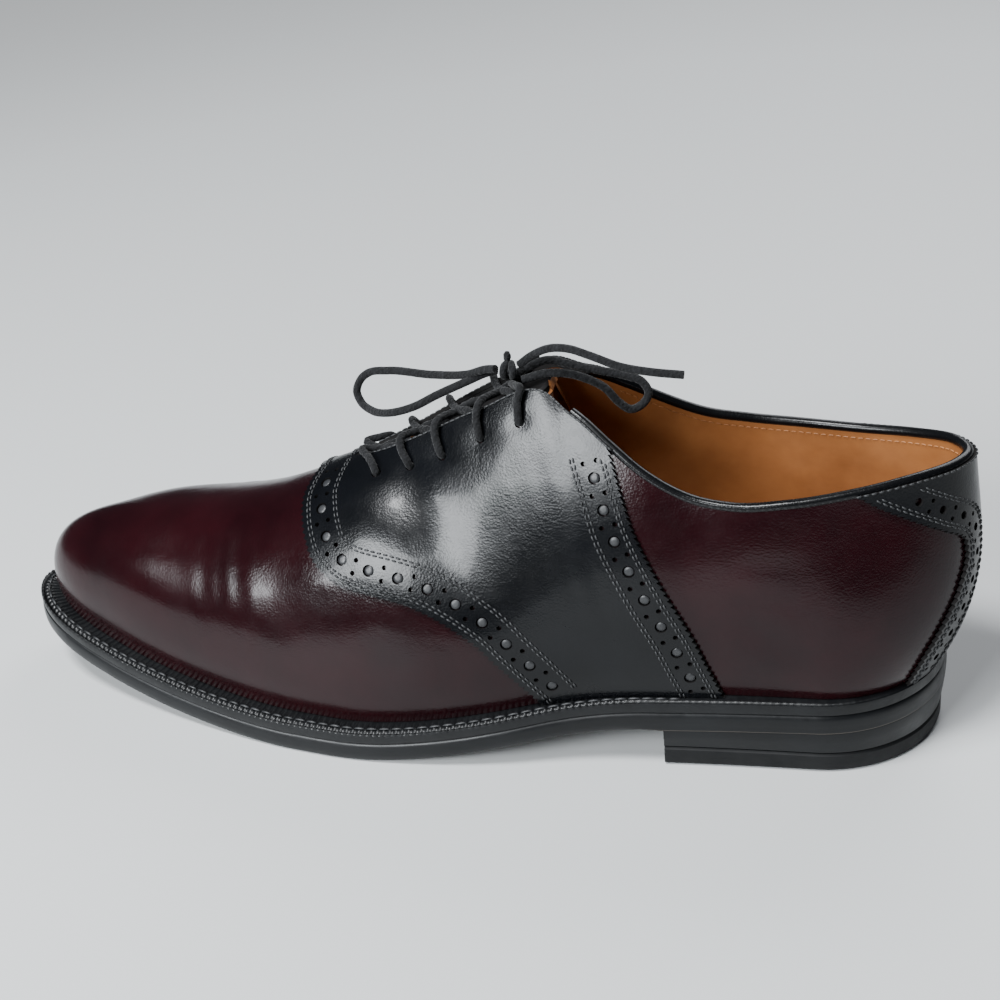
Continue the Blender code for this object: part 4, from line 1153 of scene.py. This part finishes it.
def make_tongue():
    """Tongue under the facings, lined, with a narrowed free end."""
    stations = np.concatenate([np.linspace(0.366, 0.40, 8)[:-1], np.linspace(0.40, 0.575, 34)])
    heights = np.linspace(0.78, 1.0, 9)
    middle = np.linspace(0, 1, 15)[1:-1]
    rows = []
    for a in stations:
        near = surface(np.full(9, a), heights)
        far = surface(np.full(9, -a), heights)
        near_n = normal_at(np.full(9, a), heights)
        far_n = normal_at(np.full(9, -a), heights)
        crest = near_n[-1] + far_n[-1]
        crest /= np.linalg.norm(crest)
        gap = far[-1] - near[-1]
        crown = TONGUE_CROWN * min(1.0, np.linalg.norm(gap) / WELT_MARGIN) * np.sin(math.pi * middle)
        bridge = near[-1] + gap * middle[:, None] + crest * crown[:, None]
        rows.append((np.concatenate([near, bridge, far[::-1]]),
                     np.concatenate([near_n, np.tile(crest, (len(middle), 1)), far_n[::-1]])))
    first, second = rows[0][0], rows[3][0]
    centre = len(first) // 2
    run = first[centre] - second[centre]
    run /= np.linalg.norm(run)
    for share, narrow in ((0.25, 0.97), (0.5, 0.88), (0.75, 0.74), (1.0, 0.50)):
        points = first + run * TONGUE_RISE * share
        points = points[centre] + (points - points[centre]) * narrow
        rows.insert(0, (points, rows[0][1]))
    points = np.stack([r[0] for r in rows])
    normals = np.stack([r[1] for r in rows])
    top = points - normals * (WALL + TONGUE_GAP)
    low = points - normals * (WALL + TONGUE_GAP + TONGUE_THICK * 0.9)
    columns, count = top.shape[:2]
    size = columns * count
    face = grid(columns, count)
    under = grid(columns, count, size, True) + rim_faces(columns, count, 0, size)
    faces = face + under
    kinds = [0] * len(face) + [1] * len(under)
    piece = mesh_piece("tongue_padded", np.concatenate([top.reshape(-1, 3), low.reshape(-1, 3)]), faces,
                       [TONGUE, LINING], kinds, angle=45)
    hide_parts("tongue")


def outline(inset, height, count=420):
    """Closed line round the sole at an inset and a height."""
    index = ring_index(count)
    near, far = loop(inset, height, index)
    return np.concatenate([near, far[-2:0:-1]])


def heel_outline(inset, height, count=300):
    """Closed line round the heel, straight across at its breast."""
    index = ring_index(count)
    near, far = loop(inset, height, index, HEEL_BREAST)
    front = np.linspace(near[-1], far[-1], 24)[1:-1]
    return np.concatenate([near, front, far[::-1][:-1]])


def ring_piece(name, lines, mats, kinds=None, caps=(False, False), angle=38):
    """Wall through closed lines of points. Caps are the kinds of the end faces, or False for none."""
    count = len(lines[0])
    points = np.concatenate(lines)
    faces = []
    marks = []
    for k in range(len(lines) - 1):
        for i in range(count):
            a, b = k * count + i, k * count + (i + 1) % count
            faces.append((a, b, b + count, a + count))
            marks.append(kinds[k] if kinds else 0)
    for use, k in zip(caps, (0, len(lines) - 1)):
        if use is False:
            continue
        base = k * count
        half = count // 2
        for i in range(half):
            a, b = base + i, base + i + 1
            c, d = base + (count - i) % count, base + (count - i - 1) % count
            quad = []
            for q in (a, b, d, c):
                if q not in quad:
                    quad.append(q)
            if len(quad) > 2:
                faces.append(tuple(quad))
                marks.append(use)
    return mesh_piece(name, points, faces, mats, marks, angle=angle)


def make_sole():
    """Outsole, heel lifts, top lift and sock lining."""
    up = lambda base, rise: (lambda u: base(u) + rise)
    soft = ease((FINE_U - HEEL_BREAST) / 0.012) * 0.9 + 0.1
    low = {side: EDGE_CHAMFER * 1.4 * soft for side in (-1, 1)}
    low2 = {side: EDGE_CHAMFER * 0.5 * soft for side in (-1, 1)}
    levels = [(0.010, outsole_bottom, 0), (low, outsole_bottom, 0), (low2, up(outsole_bottom, 0.0003), 1),
              (0.0001, up(outsole_bottom, 0.0011), 1), (0.0000, up(outsole_bottom, 0.0024), 1),
              (0.0000, up(outsole_bottom, 0.0042), 1), (0.0003, up(outsole_top, -0.0008), 1),
              (0.0009, up(outsole_top, -0.0002), 1), (0.0013, outsole_top, 1), (0.010, outsole_top, 1)]
    lines = [outline(i, h) for i, h, _ in levels]
    piece = ring_piece("sole_outer", lines, [TREAD, SOLE], [k for _, _, k in levels], caps=(0, 1))
    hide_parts("outsole")
    foot = TOP_LIFT + FIT_GAP
    flat = lambda z: (lambda u: np.full_like(u, z))
    under = lambda u: outsole_bottom(u - 1e-6) - FIT_GAP * 0.3
    lines = [heel_outline(HEEL_TAPER + 0.0006, flat(foot)), heel_outline(HEEL_TAPER, flat(foot + 0.0005)),
             heel_outline(HEEL_TAPER * 0.5, lambda u: (foot + under(u)) / 2),
             heel_outline(0.0001, lambda u: under(u) - 0.0003), heel_outline(0.0002, under)]
    piece = ring_piece("heel_lifts", lines, [SOLE], caps=(0, 0))
    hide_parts("heel_stack")
    lines = [heel_outline(HEEL_TAPER + 0.0013, flat(0.0)), heel_outline(HEEL_TAPER + 0.0004, flat(0.0004)),
             heel_outline(HEEL_TAPER, flat(0.0012)), heel_outline(HEEL_TAPER, flat(TOP_LIFT - 0.0007)),
             heel_outline(HEEL_TAPER + 0.0006, flat(TOP_LIFT))]
    piece = ring_piece("heel_rubber", lines, [RUBBER], caps=(0, 0))
    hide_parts("toplift")
    edge = {side: margin(side) + WALL + FIT_GAP * 0.5 for side in (-1, 1)}
    seat = lambda u: welt_top(u) + FIT_GAP + INSOLE_THICK
    lines = [outline(edge, lambda u: seat(u) - 0.0030, 300), outline(edge, up(seat, -0.0006), 300)]
    deeper = {side: edge[side] + 0.0010 for side in (-1, 1)}
    dished = {side: edge[side] + 0.0060 for side in (-1, 1)}
    lines += [outline(deeper, seat, 300), outline(dished, up(seat, -0.0002), 300)]
    piece = ring_piece("sock_lining", lines, [SOCK], caps=(0, 0))
    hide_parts("insole")


# Wheeling of the welt, and pitch, length and thickness of the stitches in it
WHEEL_PITCH = 0.0021
WELT_STITCH_PITCH = 0.0042
WELT_STITCH_LENGTH = 0.0036
WELT_STITCH_HALF = 0.00050


def make_welt():
    """Welt with a wheeled top: fine ridges across it and a bead along its outer edge."""
    index = ring_index(1500)
    inner = {side: margin(side) - 0.0003 + WALL for side in (-1, 1)}
    sides = {}
    for side in (-1, 1):
        points, _ = inset_side(side, 0.0)
        sides[side] = arc(points)[index]
    wheel_u = FINE_U[index]
    lines = []
    # inset as a share of the margin or a line for each side, height over the welt, strength of the ridges
    table = ((inner, -0.0020, 0.0), (inner, 0.0001, 0.0), (0.72, 0.0000, 0.55), (0.50, -0.0001, 1.0),
             (0.36, -0.0001, 1.0), (0.24, -0.0003, 0.8), (0.17, -0.0009, 0.15), (0.12, -0.0004, 0.5),
             (0.05, -0.0004, 0.8), (0.01, -0.0009, 0.4), (0.00, -0.0016, 0.0), (0.00, -0.0030, 0.0),
             (0.02, -WELT_THICK - 0.0001, 0.0))
    for inset, rise, mark in table:
        both = []
        for side in (-1, 1):
            if isinstance(inset, dict):
                value = inset[side]
            else:
                value = EDGE_INSET + np.maximum(inset * margin(side), inset * 0.0012)
            points, _ = inset_side(side, value)
            line = points[index]
            length = sides[side]
            strong = ease((wheel_u - 0.085) / 0.03) * 0.9 + 0.1
            phase = (length / WHEEL_PITCH) % 1.0
            ridge_up = (np.cos(2 * math.pi * phase) * 0.00024) * mark * strong
            z = welt_top(line[:, 0]) + rise + ridge_up
            both.append(np.column_stack([line, z]))
        lines.append(np.concatenate([both[0], both[1][-2:0:-1]]))
    piece = ring_piece("welt_wheeled", lines, [WELT], angle=50)
    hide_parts("welt")
    thread_lines = []
    for side in (-1, 1):
        points, _ = inset_side(side, EDGE_INSET + 0.42 * margin(side))
        length = arc(points)
        at = np.arange(0.0, length[-1], WELT_STITCH_PITCH)
        line = np.stack([np.interp(at, length, points[:, k]) for k in (0, 1)], 1)
        line = line[(line[:, 0] > 0.080)]
        thread_lines.append(np.column_stack([line, welt_top(line[:, 0])]))
    ring = 8
    points = []
    faces = []
    for line in thread_lines:
        t = np.gradient(line, axis=0)
        t /= np.linalg.norm(t, axis=1)[:, None]
        for p, along in zip(line, t):
            across = np.cross((0, 0, 1.0), along)
            normal = np.cross(along, across)
            base = len(points)
            for share, wide, drop in ((-0.5, 0.3, -0.5), (-0.36, 0.85, 0.0), (0.0, 1.0, 0.15),
                                      (0.36, 0.85, 0.0), (0.5, 0.3, -0.5)):
                centre = p + normal * (0.00012 + drop * 0.0005) + along * share * WELT_STITCH_LENGTH
                for k in range(ring):
                    a = 2 * math.pi * k / ring
                    spoke = across * math.cos(a) + normal * math.sin(a) * 0.7
                    points.append(centre + spoke * WELT_STITCH_HALF * wide)
            for a in range(4):
                for b in range(ring):
                    q, w = base + a * ring + b, base + a * ring + (b + 1) % ring
                    faces.append((q, w, w + ring, q + ring))
    piece = mesh_piece("welt_thread", np.array(points), faces, [THREAD], angle=None)


PLAIT_PITCH = 0.0013


def tube(name, route, radius, made, sides=12, spacing=0.0008, ends=True, fuzz=0.03):
    """Round cord as a mesh along a smooth route, with a braided unevenness."""
    route = np.asarray(route, float)
    length = np.linalg.norm(np.diff(route, axis=0), axis=1).sum()
    count = max(8, int(length / spacing))
    line = curve_through(route, count)
    t = np.gradient(line, axis=0)
    t /= np.linalg.norm(t, axis=1)[:, None]
    x = np.cross(t[0], (0.0, 0.0, 1.0))
    if np.linalg.norm(x) < 1e-3:
        x = np.array([1.0, 0, 0])
    points = []
    for k in range(count):
        x = x - t[k] * np.dot(x, t[k])
        x /= np.linalg.norm(x)
        y = np.cross(t[k], x)
        for j in range(sides):
            a = 2 * math.pi * j / sides
            along = k * length / count
            turn = along / PLAIT_PITCH * math.pi
            plait = 1 + fuzz * math.sin(a * 3 + turn) + fuzz * math.sin(a * 3 - turn)
            end = min(1.0, 0.55 + 0.45 * min(k, count - 1 - k) / 2) if ends else 1.0
            points.append(line[k] + (x * math.cos(a) + y * math.sin(a)) * radius * plait * end)
    faces = []
    for k in range(count - 1):
        for j in range(sides):
            a, b = k * sides + j, k * sides + (j + 1) % sides
            faces.append((a, b, b + sides, a + sides))
    faces.append(tuple(range(sides))[::-1])
    faces.append(tuple((count - 1) * sides + j for j in range(sides)))
    piece = mesh_piece(name, np.array(points), faces, [made], angle=None)
    return piece


def make_laces():
    """Strands of the lace from each pair of eyelets over the facings."""
    for k in range(len(EYELETS)):
        name = "lace_top" if k + 1 == len(EYELETS) else "lace_cross_%d" % (k + 1)
        for sign in (1, -1):
            route = strand_route(sign, k)
            a, v = EYELETS[k]
            inside = lifted(sign * a, v, -0.0006)
            rim = lifted(sign * (a - 0.0004), v + 0.004, SADDLE_FACE + LACE_RADIUS * 0.45)
            over = route[1]
            first = lifted(sign * (a - 0.0016), v + 0.018, SADDLE_FACE + LACE_RADIUS * 0.95)
            path = [inside, rim, first, over - normal_at(sign * a, 1.0) * 0.0003] + list(route[2:])
            if k + 1 < len(EYELETS):
                b = EYELETS[k + 1][0]
                opposite = lifted(-sign * b, 0.985, -WALL - 0.0004)
                path[-1] = path[-1] * 0.9 + opposite * 0.1
                path.append(opposite)
            piece = tube("%s_%s" % (name, "a" if sign > 0 else "b"), path, LACE_RADIUS * 0.96, LACE)
            if sign > 0:
                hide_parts(name)


def cord_curve(name, route, radius, made, count=160):
    """Cord as a curve object along a smooth route, and its length."""
    points = world(curve_through(route, count))
    data = bpy.data.curves.new(name, "CURVE")
    data.dimensions = "3D"
    spline = data.splines.new("POLY")
    spline.points.add(count - 1)
    for k, point in enumerate(points):
        spline.points[k].co = (*point, 1.0)
    data.bevel_depth = radius
    data.bevel_resolution = 4
    data.use_fill_caps = True
    data.materials.append(made)
    piece = bpy.data.objects.new(name, data)
    bpy.context.collection.objects.link(piece)
    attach(piece, "root")
    length = float(np.linalg.norm(np.diff(points, axis=0), axis=1).sum())
    return piece, length


def make_bow():
    """Knot, two loops, the long end with its tip and the frayed short end."""
    knot = np.array(KNOT_ROUTE[1])
    shapes = ((0.5, 0.0021, 0.0019, -0.0008), (-0.4, 0.0022, 0.0020, 0.0009))
    for k, (lean, wide, high, shift) in enumerate(shapes):
        angles = np.linspace(0.2, 2 * math.pi * 0.98, 16)
        ring = [knot + (shift + 0.0016 * math.sin(lean) * math.cos(a), wide * math.cos(a), high * math.sin(a))
                for a in angles]
        piece = tube("knot_turn_%d" % k, ring, LACE_RADIUS * 0.92, LACE, ends=False)
    heart = tube("knot_heart", KNOT_ROUTE, KNOT_RADIUS * 0.9, LACE, spacing=0.0006)
    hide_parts("lace_knot")
    stub = tube("frayed_end", SHORT_END, LACE_RADIUS * 0.9, LACE, spacing=0.0005)
    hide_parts("lace_end_short")
    front, length = cord_curve("loop_front", FRONT_LOOP, LACE_RADIUS, LACE)
    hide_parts("lace_loop_front")
    tuple(world(FRONT_LOOP[0]))
    back, length = cord_curve("loop_back", BACK_LOOP, LACE_RADIUS, LACE)
    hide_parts("lace_loop_back")
    tuple(world(BACK_LOOP[0]))
    tail = curve_through(LONG_END, 200)
    share = measure(tail)
    tip = tube("lace_tip_tube", tail[share > 0.80], LACE_RADIUS * 0.80, TIP, spacing=0.0012, fuzz=0.0)
    long_end, length = cord_curve("end_long", LONG_END, LACE_RADIUS * 0.97, LACE)
    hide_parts("lace_end_long")
    tuple(world(LONG_END[0]))


def make_stage():
    """Pale floor that fades out, room light and three lamps."""
    mesh = bpy.data.meshes.new("floor")
    r = 4.0
    mesh.from_pydata([(-r, -r, 0), (r, -r, 0), (r, r, 0), (-r, r, 0)], [], [(0, 1, 2, 3)])
    floor = bpy.data.objects.new("floor", mesh)
    bpy.context.collection.objects.link(floor)
    n = Nodes("pale_floor")
    n.set(color=(0.56, 0.57, 0.57), rough=0.55)
    away = n.add("ShaderNodeVectorMath", operation="LENGTH")
    n.link(n.place, away.inputs[0])
    clear = n.add("ShaderNodeBsdfTransparent")
    fade = n.add("ShaderNodeMixShader")
    n.link(n.span(away.outputs["Value"], 0.0, 1.0, 0.75, 1.7), fade.inputs["Fac"])
    n.link(n.shader.outputs["BSDF"], fade.inputs[1])
    n.link(clear.outputs["BSDF"], fade.inputs[2])
    n.link(fade.outputs["Shader"], n.tree.nodes["Material Output"].inputs["Surface"])
    mesh.materials.append(n.made)
    floor.location.z = -0.0002
    world_ = bpy.data.worlds.new("room")
    world_.use_nodes = True
    background = world_.node_tree.nodes["Background"]
    background.inputs["Color"].default_value = (0.80, 0.87, 1.0, 1.0)
    background.inputs["Strength"].default_value = 0.07
    links = world_.node_tree.links
    seen = world_.node_tree.nodes.new("ShaderNodeBackground")
    seen.inputs["Color"].default_value = (0.86, 0.88, 0.90, 1.0)
    seen.inputs["Strength"].default_value = 0.62
    path = world_.node_tree.nodes.new("ShaderNodeLightPath")
    either = world_.node_tree.nodes.new("ShaderNodeMixShader")
    links.new(path.outputs["Is Camera Ray"], either.inputs["Fac"])
    links.new(background.outputs["Background"], either.inputs[1])
    links.new(seen.outputs["Background"], either.inputs[2])
    links.new(either.outputs["Shader"], world_.node_tree.nodes["World Output"].inputs["Surface"])
    bpy.context.scene.world = world_
    area_light("window", (-0.80, -1.10, 0.80), (-0.10, 0.0, 0.04), 0.80, 40.0, (0.93, 0.97, 1.0), 0.46)
    area_light("ceiling", (-0.42, -0.42, 1.30), (-0.12, 0.0, 0.03), 0.50, 30.0, (0.96, 0.98, 1.0), 0.30)
    area_light("back_fill", (0.30, 1.2, 1.0), (-0.1, 0.0, 0.03), 1.0, 15.0, (0.95, 0.97, 1.0))


make_camera()
make_laces()
make_bow()
make_stage()
make_upper()
thread_rows = make_saddle()
thread_rows += make_strap()
thread_rows += make_binding()
seams = stitches("upper_stitching", thread_rows)
make_lining_seam()
make_tongue()
make_sole()
make_welt()
